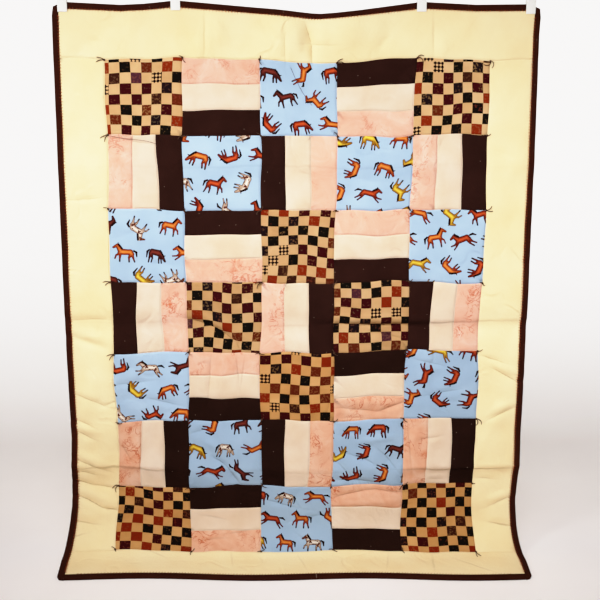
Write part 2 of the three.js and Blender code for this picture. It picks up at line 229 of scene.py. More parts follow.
def checkDye(add, place):
    # printed check: tan squares between small dark calicoes, a few of them lattices
    size = checkPrint["squareMm"]
    cell = add("VectorMath FLOOR", add("VectorMath DIVIDE", place, (size, size, 1)))
    column, line, _ = add("SeparateXYZ", cell, out=None)
    odd = add("Math FLOORED_MODULO", add("Math ADD", column, line), 2.0)
    pick, picks = add("TexWhiteNoise", cell, out=None)
    cloth = add("TexNoise", place, out="Fac", Scale=1 / checkPrint["clothMm"], Detail=3.0)
    cloth = add("Math MULTIPLY", cloth, checkPrint["clothShare"])
    tanTone = add("Math MULTIPLY_ADD", pick, 1 - checkPrint["clothShare"], cloth)
    tan = add("ValToRGB", tanTone, stops=checkPrint["tan"])
    dark = add("ValToRGB", pick, stops=checkPrint["dark"], held=True)

    # calico specks: paler sprigs, denser on some squares than on others
    crowd, tint, chance = add("SeparateColor", picks, out=None)
    sprig = add("TexNoise", place, out="Fac", Scale=1 / checkPrint["speckMm"], Detail=1.0)
    few = add("Math MULTIPLY_ADD", crowd, checkPrint["denser"], checkPrint["fewest"])
    speck = add("MapRange", add("Math SUBTRACT", sprig, few), *checkPrint["speckEdge"])
    speckTone = add("ValToRGB", tint, stops=checkPrint["specks"])

    # lattice squares: small diamonds of tan and near black
    along, across, _ = add("SeparateXYZ", place, out=None)
    slope = fullTurn / (math.sqrt(2) * checkPrint["latticeMm"])
    waves = []
    for sign in (1, -1):
        slant = add("Math MULTIPLY_ADD", across, sign, along)
        waves.append(add("Math SINE", add("Math MULTIPLY", slant, slope)))
    diamond = add("Math GREATER_THAN", add("Math MULTIPLY", *waves), checkPrint["latticeLine"])
    isLattice = add("Math LESS_THAN", chance, checkPrint["latticeShare"])
    nearBlack, paleTan = checkPrint["latticeTones"]
    lattice = layered(add, nearBlack, (diamond, paleTan))
    darkSquare = layered(add, dark, (speck, speckTone), (isLattice, lattice))
    return shadeLowRows(add, place, layered(add, tan, (odd, darkSquare)), checkPrint["lowRowShade"])


# Horse print: one small horse in each cell, tossed, in one of three poses.
# Strokes run from one end to the other and taper; sizes in mm, the horse faces -x.
horsePrint = {
    "cellMm": (78, 66),
    "jitterMm": 6,
    "poses": {
        "trotting": {
            "coat": [
                ((-8, 3), (9, 4), 8.2, 7.4), ((-10, 3), (-13, 0), 7.6, 5.4), ((10, 4), (14, 0), 8.0, 6.2),
                ((-12, 6), (-20, 17.5), 7.0, 4.4), ((-20.5, 18), (-29, 12), 4.6, 2.8),
                ((-19.6, 21.5), (-18, 26), 1.8, 0.8), ((-12, -3), (-12, -13), 4.0, 2.2),
                ((-12, -13), (-11.5, -23), 2.1, 1.8), ((-13, -2), (-21, -8), 3.8, 2.2),
                ((-21, -8), (-23, -16.5), 2.1, 1.8), ((14, -1), (18, -10), 5.6, 2.6),
                ((18, -10), (22.5, -21), 2.3, 1.8), ((12, -2), (8.5, -11), 5.2, 2.5),
                ((8.5, -11), (9.5, -22), 2.2, 1.8),
            ],
            "points": [((-17, 21.5), (-9, 11.5), 2.4, 2.4), ((18.5, 8.5), (24.5, 5), 2.2, 2.8),
                       ((24.5, 5), (26.5, -6), 2.7, 1.4)],
        },
        "galloping": {
            "coat": [
                ((-9, 2), (10, 4), 8, 7.4), ((-11, 1.5), (-14.5, -1), 7.2, 5.2),
                ((11, 4), (15, 0.5), 7.8, 6), ((-13, 5), (-23, 12.5), 6.8, 4.3),
                ((-23.5, 13), (-32, 7.6), 4.5, 2.7),
                ((-22.2, 16.5), (-20, 20.6), 1.8, 0.8), ((-14, -2), (-23, -8), 3.7, 2.2),
                ((-23, -8), (-33, -9.5), 2.1, 1.8), ((-12, -3), (-18.5, -12), 3.7, 2.2),
                ((-18.5, -12), (-26, -18.5), 2.1, 1.8), ((16, -0.5), (23, -8), 5.4, 2.5),
                ((23, -8), (32, -14.5), 2.2, 1.8), ((14, -2), (17.5, -11.5), 5.0, 2.4),
                ((17.5, -11.5), (25.5, -20), 2.1, 1.8),
            ],
            "points": [((-20, 17), (-10, 10.5), 2.4, 2.4), ((19.5, 8.5), (27, 9.5), 2.2, 2.8),
                       ((27, 9.5), (34.5, 5), 2.7, 1.3)],
        },
        "grazing": {
            "coat": [
                ((-8, 4), (9, 5), 8.4, 7.6), ((-10, 3.5), (-13.5, 0.5), 7.4, 5.4),
                ((10, 5), (14, 0.5), 8.2, 6.4), ((-13, 4), (-21, -5.5), 6.8, 4.5),
                ((-21, -6), (-27.5, -15), 4.8, 2.9),
                ((-23.8, -2.4), (-27.6, -0.6), 1.8, 0.8), ((-12, -2), (-9.5, -12), 3.9, 2.2),
                ((-9.5, -12), (-10, -22.5), 2.1, 1.8), ((-12, -2), (-16.5, -11.5), 3.7, 2.2),
                ((-16.5, -11.5), (-17.5, -21.5), 2.1, 1.8), ((14, -1), (17.5, -10.5), 5.6, 2.6),
                ((17.5, -10.5), (19.5, -22.5), 2.3, 1.8), ((12, -2), (9, -11), 5.2, 2.5),
                ((9, -11), (12, -22), 2.2, 1.8),
            ],
            "points": [((-22.5, -2), (-12.5, 10.5), 2.3, 2.5), ((19, 9), (24, 4), 2.2, 2.8),
                       ((24, 4), (25, -10), 2.7, 1.3)],
        },
    },
    "coats": [(0.0, "#7d2611"), (0.3, "#37130f"), (0.46, "#8d5c19"), (0.6, "#5f170d"), (0.84, "#a98b74")],
    "lights": [(0.0, "#e98a3c"), (0.3, "#7a3226"), (0.46, "#f0cd48"), (0.6, "#cb5429"), (0.84, "#f4ebdd")],
    # sky blue, then painted shade that draws the lower rows darker
    "sky": [(0.3, "#9db4cc"), (0.7, "#a9bfd5")], "skyMm": 90, "lowRowShade": [(0.58, "#ffffff"), (0.65, "#eeeff0")],
    # from the edge of the coat inwards, and up from the horse's middle
    "outline": (-1.4, -0.6), "outlineTone": "#33110c", "flank": (-2.4, -8.0), "blendMm": 1.2,
    "hooves": (-15, -20), "hoofTone": "#1f0d0b",
    "dappleMm": 9, "litDapple": 1.3, "litUpward": 0.045, "litLow": 0.3,
    "pintoFrom": 0.84, "blotchFrom": 0.55, "blotchTone": "#5c2c1e",
    "otherSeed": (31.7, 12.3, 5.1),
    "turns": [(0.0, 0.02), (0.25, 0.96), (0.42, 0.3), (0.56, 0.05), (0.7, 0.62), (0.86, 0.45)],
}


def strokeDistance(add, place, stroke):
    start, end, startRadius, endRadius = stroke
    start = Vector((*start, 0))
    span = Vector((*end, 0)) - start
    offset = add("VectorMath SUBTRACT", place, start)
    share = add("Clamp", add("VectorMath DOT_PRODUCT", offset, span / span.length_squared, out="Value"))
    step = add("VectorMath SCALE", -span, Scale=share)
    reach = add("VectorMath LENGTH", add("VectorMath ADD", offset, step), out="Value")
    taper = add("Math MULTIPLY_ADD", share, startRadius - endRadius, reach)
    return add("Math SUBTRACT", taper, startRadius)


def shapeDistance(add, place, strokes):
    nearest = strokeDistance(add, place, strokes[0])
    for stroke in strokes[1:]:
        nearest = add("Math SMOOTH_MIN", nearest, strokeDistance(add, place, stroke), horsePrint["blendMm"])
    return nearest


def horseDye(add, place):
    # novelty print on sky blue: small horses with dark outlines and pale lit flanks
    wide, tall = horsePrint["cellMm"]
    along, across, number = add("SeparateXYZ", place, out=None)
    down = add("Math DIVIDE", across, tall)
    row = add("Math FLOOR", down)
    shift = add("Math MULTIPLY", add("Math FLOORED_MODULO", row, 2.0), 0.5)
    aside = add("Math ADD", add("Math DIVIDE", along, wide), shift)
    cell = add("CombineXYZ", add("Math FLOOR", aside), row, add("Math FLOOR", number))
    pick, picks = add("TexWhiteNoise", cell, out=None)
    chance = add("SeparateColor", picks, out=None)
    jitter = horsePrint["jitterMm"]
    local = []
    for cells, size, luck in ((aside, wide, chance[0]), (down, tall, chance[1])):
        centred = add("Math MULTIPLY", add("Math SUBTRACT", add("Math FRACT", cells), 0.5), size)
        local.append(add("Math ADD", centred, add("Math MULTIPLY_ADD", luck, jitter, -jitter / 2)))
    turn = add("ValToRGB", chance[2], stops=horsePrint["turns"], held=True)
    angle = add("Math MULTIPLY", turn, fullTurn)
    turned = add("VectorRotate", add("CombineXYZ", *local), Angle=angle, rotation_type="Z_AXIS")
    otherPicks = add("TexWhiteNoise", add("VectorMath ADD", cell, horsePrint["otherSeed"]), out="Color")
    otherChance = add("SeparateColor", otherPicks, out=None)
    mirror = add("Math MULTIPLY_ADD", add("Math GREATER_THAN", otherChance[0], 0.5), 2.0, -1.0)
    horse = add("VectorMath MULTIPLY", turned, add("CombineXYZ", mirror, 1.0, 0.0))

    coat = mane = None
    for i, pose in enumerate(horsePrint["poses"].values()):
        poseCoat = shapeDistance(add, horse, pose["coat"])
        poseMane = shapeDistance(add, horse, pose["points"])
        if coat is None:
            coat, mane = poseCoat, poseMane
            continue
        chosen = add("Math GREATER_THAN", otherChance[1], i / len(horsePrint["poses"]))
        coat = add("Mix", {0: chosen, 2: coat, 3: poseCoat})
        mane = add("Mix", {0: chosen, 2: mane, 3: poseMane})

    mottle = add("TexNoise", place, out="Fac", Scale=1 / horsePrint["skyMm"], Detail=3.0)
    sky = add("ValToRGB", mottle, stops=horsePrint["sky"])
    coats = add("ValToRGB", pick, stops=horsePrint["coats"], held=True)
    lights = add("ValToRGB", pick, stops=horsePrint["lights"], held=True)
    flank = add("MapRange", coat, *horsePrint["flank"])
    dapple = add("TexNoise", horse, out="Fac", Scale=1 / horsePrint["dappleMm"])
    upward = add("SeparateXYZ", horse, out=1)
    high = add("Math MULTIPLY_ADD", upward, horsePrint["litUpward"], horsePrint["litLow"])
    lit = add("Math MULTIPLY_ADD", dapple, horsePrint["litDapple"], high, use_clamp=True)
    body = layered(add, coats, (add("Math MULTIPLY", flank, lit), lights))
    isPinto = add("Math GREATER_THAN", pick, horsePrint["pintoFrom"])
    blotch = add("Math GREATER_THAN", dapple, horsePrint["blotchFrom"])
    body = layered(add, body, (add("Math MULTIPLY", isPinto, blotch), horsePrint["blotchTone"]))
    body = layered(add, body, (add("MapRange", coat, *horsePrint["outline"]), horsePrint["outlineTone"]))
    body = layered(add, body, (add("MapRange", upward, *horsePrint["hooves"]), horsePrint["hoofTone"]))
    inCoat, inMane = (add("Math LESS_THAN", distance, 0.0) for distance in (coat, mane))
    printed = layered(add, sky, (inCoat, body), (inMane, horsePrint["hoofTone"]))
    return shadeLowRows(add, place, printed, horsePrint["lowRowShade"])


chocolate = {"cloudMm": 60, "fleckMm": 75, "fleck": (0.008, 0.016, 0.35, 0.0), "lint": "#b9a596",
             # painted shade: the lower rows drawn darker
             "lowRowShade": [(0.57, "#ffffff"), (0.62, "#dce2da")]}


def darkDye(add, place, dark, light):
    # chocolate: near black, with a rare fleck of pale lint
    cloud = add("TexNoise", place, out="Fac", Scale=1 / chocolate["cloudMm"], Detail=4.0)
    tone = add("ValToRGB", cloud, stops=[(0.3, dark), (0.7, light)])
    flecks = add("TexVoronoi", place, out="Distance", Scale=1 / chocolate["fleckMm"],
                 voronoi_dimensions="2D")
    lint = add("MapRange", flecks, *chocolate["fleck"])
    return layered(add, shadeLowRows(add, place, tone, chocolate["lowRowShade"]), (lint, chocolate["lint"]))


def threadMaterial(name, light, dark, twistMm=1.2, twistDepth=0.0002):
    # twisted cotton thread: matt, with a fine twist, its ridges given painted highlight and its grooves
    # painted shade
    material, add = newMaterial(name)
    place = add("TexCoord", out="Object")
    twist = add("TexWave", place, out="Fac", Scale=waveUnit / (twistMm * mm), Distortion=1.5,
                bands_direction="DIAGONAL")
    # painted highlight on the twist's ridges, painted shade in its grooves
    tone = add("ValToRGB", twist, stops=[(0.2, dark), (0.8, light)])
    normal = add("Bump", Height=twist, Distance=twistDepth, Strength=0.8)
    return shade(material, Base_Color=tone, Roughness=0.85, Specular_IOR_Level=0.25, Normal=normal)


def mouldedPlastic(grainMm=1.6, grainDepth=0.00008):
    # injection-moulded polystyrene: satin white, a faint mould grain
    material, add = newMaterial("white moulded polystyrene")
    grain = add("TexNoise", add("TexCoord", out="Object"), out="Fac", Scale=1 / (grainMm * mm), Detail=3.0)
    tone = add("ValToRGB", grain, stops=[(0.3, "#ece9e3"), (0.7, "#f7f6f2")])
    rough = add("MapRange", grain, 0.0, 1.0, 0.32, 0.46)
    normal = add("Bump", Height=grain, Distance=grainDepth, Strength=0.4)
    return shade(material, Base_Color=tone, Roughness=rough, IOR=1.59, Normal=normal)


def springSteel(streakMm=0.9):
    # drawn steel wire: bright, streaked along the drawing
    material, add = newMaterial("drawn spring steel")
    streak = add("TexNoise", add("TexCoord", out="Object"), out="Fac", Scale=1 / (streakMm * mm))
    tone = add("ValToRGB", streak, stops=[(0.3, "#8f9092"), (0.7, "#c3c4c6")])
    return shade(material, Base_Color=tone, Roughness=0.28, Metallic=1.0)


fabrics = {
    "y": cotton("butter-yellow cotton", plainDye, "#f5e0b3", "#efd5a3", cockle=1.3),
    "b": cotton("chocolate cotton", darkDye, "#2a1611", "#301a15", shine=0.04),
    "p": cotton("marbled peach cotton", marbledDye),
    "c": cotton("cream muslin", plainDye, "#e2ccb7", "#d8bea3", 80),
    "horse": cotton("printed sky-blue cotton", horseDye),
    "check": cotton("calico check cotton", checkDye, shine=0.1),
    "back": cotton("butter-yellow backing cotton", plainDye, "#f1daac", "#eed5a5"),
}
print("fabrics made:", len(fabrics))


# The hung sheet, in mm: x across from the centre line, v down from the top edge.
quilt = {
    "blocks": [
        ["check", "pcb=", "horse", "bcp=", "check"],
        ["pcb|", "horse", "bcp|", "horse", "pcb|"],
        ["horse", "bcp=", "check", "pcb=", "horse"],
        ["bcp|", "check", "pcb|", "check", "bcp|"],
        ["horse", "pcb=", "check", "bcp=", "horse"],
        ["pcb|", "horse", "bcp|", "horse", "pcb|"],
        ["check", "bcp=", "horse", "pcb=", "check"],
    ],
    "blockWide": 190, "blockTall": 188, "strips": 3,
    "sideMargin": 120, "topMargin": 134, "footMargin": 132, "binding": 15.5,
    "hang": 1345, "bend": 95, "floorBelow": 3.6,
    "seamHalf": 2.2, "edgeTuck": 1.8,
    "puff": {"whole": 2.6, "strip": 2.0, "border": 2.3}, "backPuff": 0.45, "puffRise": 100,
    "blockSteps": 36, "sideSteps": 22, "topSteps": 24,
    "clips": [-568, -298, 296, 562],
    # the top edge sags between the clips: place along it, drop
    "topLine": [(-595, 13), (-568, 5), (-430, 11), (-404, 9.8), (-375, 8.2), (-346, 5.4), (-298, 0),
                (-115, 14.8), (-57, 19), (-28, 22), (1, 25.4), (29, 28.4), (52, 29.2), (87, 26.4), (145, 20),
                (296, 0), (430, 6), (562, 4), (595, 12)],
    "sagFade": 140, "cornerPull": 3.2, "cornerReach": 26, "footPull": 4.5, "footReach": 16,
    # the side edges wander and splay at the foot: distance down, left, right
    "sway": [(0, -1, -6), (75, 0, -8), (315, 1, -3), (800, 3, 4), (1115, -1, 4), (1215, 4, 6), (1315, 8, 1),
             (1415, 22, 9), (1485, 30, 15), (1582, 27, 10)],
    "swayPower": 5,
    "footStart": 1262, "footSkew": 14, "footWave": 6, "footPitch": 560, "footCrest": -110,
    "waveDepth": 4, "wavePitch": 610, "waveCrest": 60,
    "wrinkleGain": 1.6, "bowDepth": 13, "bowPlace": 45, "bowTall": 75,
    "holdNear": 46, "holdFar": 120, "holdShort": 50, "holdLong": 125,
}

# broad folds: place, reach across and down, lean, depth
folds = [
    (-228, 80, 30, 70, 0.25, 5), (-120, 70, 38, 75, 0.15, -5), (-40, 70, 34, 65, 0.05, 6),
    (28, 75, 26, 60, 0, -9), (120, 80, 44, 75, -0.15, 6), (350, 90, 40, 70, -0.1, 4),
    (-500, 90, 36, 60, 0.9, -5), (-535, 1000, 60, 190, 0.35, 7), (-505, 1240, 50, 110, 0.6, -7),
    (500, 1290, 55, 80, -0.5, 8), (545, 620, 60, 260, 0, -6),
]

# storage creases across the whole quilt: distance down, reach, depth
creases = [(395, 34, 3), (809, 30, -5), (1223, 34, 5)]

# wrinkles: blocks across and down from the patchwork's corner, half length, width, turn, depth
wrinkles = [
    # top border
    (-0.33, -0.40, 29, 9, 49, -3.6), (-0.13, -0.24, 21, 9, 23, -3), (1.29, -0.31, 51, 7, -89, -2.4),
    (1.46, -0.40, 33, 12, 61, 3), (2.13, -0.38, 33, 11, 50, -3.2), (2.31, -0.24, 42, 6, 90, -2.8),
    (2.62, -0.38, 25, 7, 72, -4.4), (2.66, -0.13, 30, 6, 89, -4.2), (2.48, -0.29, 37, 12, 82, 3.2),
    (2.80, -0.26, 37, 13, 85, 2.6), (3.59, -0.24, 27, 11, -57, -2.2), (4.22, -0.28, 45, 6, 88, -2.2),
    (4.34, -0.30, 37, 11, 82, 1.8), (2.75, -0.26, 48, 8, 1, -1.6), (5.11, -0.40, 36, 11, 64, 2),
    # left border
    (-0.33, 1.85, 47, 7, -3, -1.8), (-0.29, 3.51, 52, 8, 0, -2.4), (-0.33, 3.84, 49, 10, 19, -4),
    (-0.32, 3.72, 42, 11, 16, 3), (-0.33, 4.67, 47, 7, 24, -2.8), (-0.43, 5.01, 26, 7, 28, -3.2),
    (-0.43, 5.19, 24, 7, 29, -3.2), (-0.37, 5.09, 29, 8, 21, 2.4), (-0.37, 5.65, 43, 7, 29, -3.6),
    (-0.37, 5.55, 38, 10, 28, 2.8), (-0.44, 5.77, 26, 7, 17, -2.6), (-0.47, 5.94, 25, 7, 25, -3.8),
    (-0.19, 6.02, 32, 7, 11, -3.2), (-0.38, 6.24, 40, 6.5, 29, -5.6), (-0.13, 6.35, 20, 6.5, 10, -4.4),
    (-0.34, 6.12, 39, 11, 26, 4), (-0.44, 6.55, 31, 7, 12, -3.4), (-0.40, 6.44, 34, 10, 13, 2.4),
    (-0.52, 6.75, 20, 6.5, -17, -2.6),
    # right border
    (5.21, 4.13, 36, 6.5, 19, -2.8), (5.38, 4.36, 34, 6.5, 29, -4.2), (5.40, 4.25, 31, 10, 25, 2.6),
    (5.34, 4.92, 35, 7, -27, -2.8), (5.35, 4.82, 33, 10, -26, 2), (5.17, 5.92, 23, 7, 8, -2),
    (5.39, 6.19, 37, 9, -19, 2.6), (5.41, 6.27, 35, 8, -23, -2.8), (5.42, 6.60, 27, 6.5, 10, -5.2),
    (5.40, 6.49, 30, 10, 7, 3.6), (5.22, 6.62, 39, 10, -27, -2.6), (5.46, 2.64, 22, 8, 49, -1.8),
    (5.23, 1.25, 31, 9, 19, -1.6),
    # foot border
    (4.39, 7.27, 43, 6, -86, -1.8), (4.92, 7.32, 51, 6, 38, -2.2), (3.76, 7.24, 36, 6, -82, -1.5),
    (0.55, 7.06, 27, 6, 30, -1.8), (1.58, 7.16, 29, 6, 81, -1.4), (2.58, 7.27, 37, 7, 79, -1.4),
    # patchwork
    (0.34, 1.08, 64, 4.5, 9, -1.8), (1.17, 3.57, 39, 7, 17, -5.6), (1.50, 3.73, 37, 7, 33, -6.2),
    (1.32, 3.54, 61, 10, 24, 4.2), (1.70, 3.91, 18, 8, 63, -3.2), (3.51, 3.61, 99, 6.5, 2, -6.6),
    (3.52, 3.51, 97, 9, 2, 4), (3.53, 3.83, 62, 9, 7, 2.6), (3.73, 3.77, 43, 8, 16, -2.4),
    (1.29, 4.37, 63, 7, -85, -2.4), (1.68, 4.26, 33, 7, 87, -2.6), (1.75, 4.30, 38, 8, -81, -2),
    (1.46, 4.36, 54, 9, -89, 1.8), (3.36, 4.85, 57, 6, 8, -3.6), (3.83, 4.81, 40, 6, -21, -3.6),
    (3.51, 4.73, 83, 8, 3, 2.6), (3.31, 4.96, 53, 7, 4, -2), (1.42, 5.61, 22, 6.5, 42, -4.6),
    (1.59, 5.83, 32, 6.5, 59, -4.2), (1.31, 5.80, 18, 8, 35, -3.6), (1.34, 5.37, 26, 9, 34, 2.6),
    (1.16, 5.14, 25, 8, -13, -2), (1.75, 5.46, 57, 9, 82, 2.2), (3.38, 5.93, 71, 7, 7, -3.8),
    (3.38, 5.57, 40, 8, 23, -3), (3.61, 5.29, 45, 9, -11, 2.6), (3.18, 5.73, 27, 8, 42, -2.6),
    (3.80, 5.62, 40, 8, 49, -2.6), (3.26, 5.17, 29, 7, -5, -2), (3.34, 6.12, 46, 6, -11, -4),
    (3.79, 6.09, 43, 6, 5, -3.4), (3.58, 6.26, 73, 8, -3, 2.4), (1.31, 6.46, 27, 7, 13, -2.4),
    (1.65, 6.69, 31, 6, -10, -2.8), (1.27, 6.80, 39, 7, -3, -2.2), (1.53, 6.59, 44, 8, -8, 1.8),
    (2.28, 6.27, 43, 8, 13, -2.8), (2.66, 6.49, 51, 8, -9, -2.4), (2.68, 6.82, 31, 8, 35, -2.4),
    (2.19, 6.76, 30, 9, 49, 2), (0.26, 4.42, 44, 8, -7, -2.2), (0.66, 4.71, 39, 8, 15, -2.2),
    (0.22, 4.20, 28, 9, 31, -1.8), (4.33, 4.17, 45, 8, 11, -2), (4.57, 4.59, 45, 8, -13, -2.4),
    (4.29, 4.49, 42, 9, 65, 1.8), (0.11, 5.48, 31, 7, 60, -2.2), (0.32, 5.36, 44, 8, 88, -1.8),
    (4.08, 5.41, 48, 7, 85, -2.4), (4.37, 5.29, 28, 7, -12, -2.2), (4.48, 5.88, 31, 7, -5, 2),
    (1.23, 1.77, 32, 9, 14, -1.6), (1.72, 1.14, 35, 9, 17, -1.5), (3.33, 1.58, 44, 9, 10, -1.6),
    (2.32, 0.48, 39, 9, -11, -1.4), (4.32, 2.36, 39, 9, 16, -1.6), (0.32, 2.31, 43, 9, -11, -1.5),
    (0.72, 2.74, 40, 9, 8, -1.4), (2.39, 4.14, 57, 9, 6, -1.8), (2.53, 4.63, 64, 9, -7, -1.8),
    (4.42, 6.37, 61, 9, 9, -2.2), (4.53, 6.66, 52, 9, -6, -1.8), (0.38, 6.43, 59, 9, 9, -2.4),
    (0.50, 6.67, 56, 9, -8, -2),
]

# kinks, where the quilt lay folded: as above, but bent sharply along the line and slow to recover below
kinks = [
    (4.3, 3.55, 275, 20, -1, 14.5), (2.4, 3.59, 80, 14, 0, 5), (0.2, 3.53, 150, 15, 0, 4),
    (0.1, 5.68, 165, 20, 2, 18), (2.4, 5.74, 260, 14, 0, 5), (4.8, 5.72, 180, 20, -1, 23),
    (2.5, 1.38, 500, 14, 0, 1.4),
]
kinkFade = {"ends": 60, "recovers": 6}

# the line along the narrow valleys and, a little lower, along the kinks
creaseLine = {"widest": 9, "below": 0.03, "share": 0.2, "reach": 0.8, "search": 1.4,
              "fullDepth": 4, "strength": (0.25, 1.3)}

# pleats: as above, the last number is the cloth that the fold hides
pleats = [(3.5, 3.56, 100, 9, 1, 12), (1.42, 3.62, 50, 9, 28, 13), (1.5, 5.68, 42, 9, 45, 6)]

# fine waves out of the face, more of them low down, and in it, none of them at the edges
cockles = {"count": 16, "shortest": 42, "longest": 150, "depth": 0.42,
           "upper": 0.6, "more": 0.6, "start": 500, "end": 1300}
wobble = {"count": 10, "shortest": 105, "longest": 420, "depth": 1.4,
          "edge": 16, "sideFade": 130, "endFade": 140}
rippleFall = 0.6        # power of the length that the depth goes by

# numbers of the cloths outside the blocks, and how each cloth was laid when it was cut
cloths = {"side": 150, "top": 160, "foot": 161, "back": 199, "count": 200, "spreadMm": 900, "tilt": 2.5}

rows, columns = len(quilt["blocks"]), len(quilt["blocks"][0])
patchHalf = columns * quilt["blockWide"] / 2
halfWidth = patchHalf + quilt["sideMargin"]
length = quilt["topMargin"] + rows * quilt["blockTall"] + quilt["footMargin"]
floorTop = -(quilt["hang"] + quilt["bend"] + quilt["floorBelow"])
dice = np.random.default_rng(11)


def ripples(kind):
    # a few waves of different length and heading, fixed by the seed
    n = kind["count"]
    lengths = np.geomspace(kind["shortest"], kind["longest"], n)
    headings = dice.uniform(0, math.pi, n)
    phases = dice.uniform(0, fullTurn, n)
    return list(zip(lengths, headings, phases, kind["depth"] * (lengths / kind["longest"]) ** rippleFall))


cockleWaves, wobbleX, wobbleV = ripples(cockles), ripples(wobble), ripples(wobble)


def rippled(waves, x, v):
    total = 0
    for wave, heading, phase, depth in waves:
        along = x * np.cos(heading) + v * np.sin(heading)
        total = total + depth * np.sin(along * fullTurn / wave + phase)
    return total


def bell(distance, reach):
    return np.exp(-(distance / reach) ** 2)


def ramp(value, start, end):
    share = np.clip((value - start) / (end - start), 0, 1)
    return share * share * (3 - 2 * share)


def topDrop(x):
    return np.interp(x, *zip(*quilt["topLine"]))


def blockPlace(across, down):
    return across * quilt["blockWide"] - patchHalf, quilt["topMargin"] + down * quilt["blockTall"]


def lineOffset(x, v, across, down, turn):
    # distances along and off a line through a place given in blocks
    lineX, lineV = blockPlace(across, down)
    c, s = math.cos(math.radians(turn)), math.sin(math.radians(turn))
    return c * (x - lineX) + s * (v - lineV), c * (v - lineV) - s * (x - lineX)


def linesAt(x, v, lines):
    # for each line its distances along and off, its reach, width and depth
    for across, down, reach, width, turn, depth in lines:
        yield *lineOffset(x, v, across, down, turn), reach, width, depth


def hiddenCloth(x, v):
    # flat cloth place once the pleats' hidden cloth is counted
    shiftX, shiftV = 0, 0
    for across, down, reach, width, turn, hidden in pleats:
        along, off = lineOffset(x, v, across, down, turn)
        shift = hidden * bell(along, reach) * (ramp(off, -width, width) - 0.5)
        shiftX = shiftX - math.sin(math.radians(turn)) * shift
        shiftV = shiftV + math.cos(math.radians(turn)) * shift
    return x + shiftX, v + shiftV


def relief(flatX, flatV):
    # folds and creases as a push out of the face; the binding keeps the edge flat across its width
    x = np.clip(flatX, quilt["binding"] - halfWidth, halfWidth - quilt["binding"])
    v = np.clip(flatV, quilt["binding"], length - quilt["binding"])
    deepest = max(drop for _, drop in quilt["topLine"])
    push = quilt["bowDepth"] * topDrop(x) / deepest * bell(v - quilt["bowPlace"], quilt["bowTall"])
    for foldX, foldV, wide, tall, lean, depth in folds:
        push = push + depth * bell(x - foldX + lean * (v - foldV), wide) * bell(v - foldV, tall)
    for at, tall, depth in creases:
        push = push + depth * bell(v - at, tall)
    wave = np.cos(fullTurn * (x - quilt["waveCrest"]) / quilt["wavePitch"])
    push = push + quilt["waveDepth"] * wave * np.sin(np.pi * v / quilt["hang"])
    for along, off, reach, width, depth in linesAt(x, v, wrinkles):
        push = push + quilt["wrinkleGain"] * depth * bell(along, reach) * bell(off, width)
    for along, off, reach, width, depth in linesAt(x, v, kinks):
        past = np.maximum(0, off / width)
        bent = (1 - np.exp(-past)) * np.exp(-past / kinkFade["recovers"])
        push = push - depth * ramp(reach - np.abs(along), 0, kinkFade["ends"]) * bent
    share = cockles["upper"] + cockles["more"] * ramp(v, cockles["start"], cockles["end"])
    push = push + rippled(cockleWaves, x, v) * share
    nearest = np.min([np.abs(x - clip) for clip in quilt["clips"]], axis=0)
    held = 1 - ramp(nearest, quilt["holdNear"], quilt["holdFar"])
    held = held * (1 - ramp(v, quilt["holdShort"], quilt["holdLong"]))
    standing = 1 - ramp(v, quilt["hang"] - quilt["bend"], quilt["hang"] + quilt["bend"])
    return push * standing * (1 - held)


def creaseLines(x, v, faceOf, cornerX, cornerV):
    # for each face the valley nearest to it, then each corner's distance off it and its strength
    best, chosen = np.full(len(x), -1.0), np.zeros(len(x), int)
    valleys = [row for row in wrinkles if row[-1] < 0 and row[3] < creaseLine["widest"]]
    for across, down, reach, width, turn, depth in kinks:
        valleys.append((across, down + creaseLine["below"], creaseLine["reach"] * reach, width, turn,
                        -creaseLine["share"] * depth))
    for i, (along, off, reach, width, depth) in enumerate(linesAt(x, v, valleys)):
        nearness = bell(along, creaseLine["search"] * reach) / (1 + np.abs(off))
        chosen[nearness > best] = i
        best = np.maximum(best, nearness)
    off, strength = np.zeros(len(faceOf)), np.zeros(len(faceOf))
    for i, (across, down, reach, width, turn, depth) in enumerate(valleys):
        mine = chosen[faceOf] == i
        along, off[mine] = lineOffset(cornerX[mine], cornerV[mine], across, down, turn)
        share = np.clip(-depth / creaseLine["fullDepth"], *creaseLine["strength"])
        strength[mine] = share * bell(along, reach)
    return off, strength


def sheetPoint(x, v):
    # middle of the hung sheet for a flat place
    edge, endFade = wobble["edge"], wobble["endFade"]
    inner = ramp(halfWidth - np.abs(x), edge, wobble["sideFade"])
    inner = inner * ramp(v, edge, endFade) * ramp(length - v, edge, endFade)
    x, v = x + inner * rippled(wobbleX, x, v), v + inner * rippled(wobbleV, x, v)
    share = x / halfWidth
    downs, lefts, rights = zip(*quilt["sway"])
    sway = np.where(share < 0, np.interp(v, downs, lefts), np.interp(v, downs, rights))
    inSide = halfWidth - np.abs(x)
    pull = quilt["cornerPull"] * np.maximum(0, 1 - np.hypot(inSide, v) / quilt["cornerReach"])
    lift = quilt["footPull"] * np.maximum(0, 1 - np.hypot(inSide, length - v) / quilt["footReach"])
    across = x + np.sign(x) * (sway * np.abs(share) ** quilt["swayPower"] - pull - lift)
    wave = quilt["footWave"] * np.cos(fullTurn * (x - quilt["footCrest"]) / quilt["footPitch"])
    foot = ramp(v, quilt["footStart"], length) * (quilt["footSkew"] * share + wave)
    down = v + pull - lift + topDrop(x) * np.exp(-v / quilt["sagFade"]) + foot
    hang, bend = quilt["hang"], quilt["bend"]
    turn = np.clip((down - hang) / bend, 0, np.pi / 2)
    flat = np.maximum(0, down - hang - bend * np.pi / 2)
    push = relief(x, v)
    y = -bend * (1 - np.cos(turn)) - flat - push * np.cos(turn)
    z = -np.minimum(down, hang) - bend * np.sin(turn) + push * np.sin(turn)
    return np.stack([across, y, z], -1)


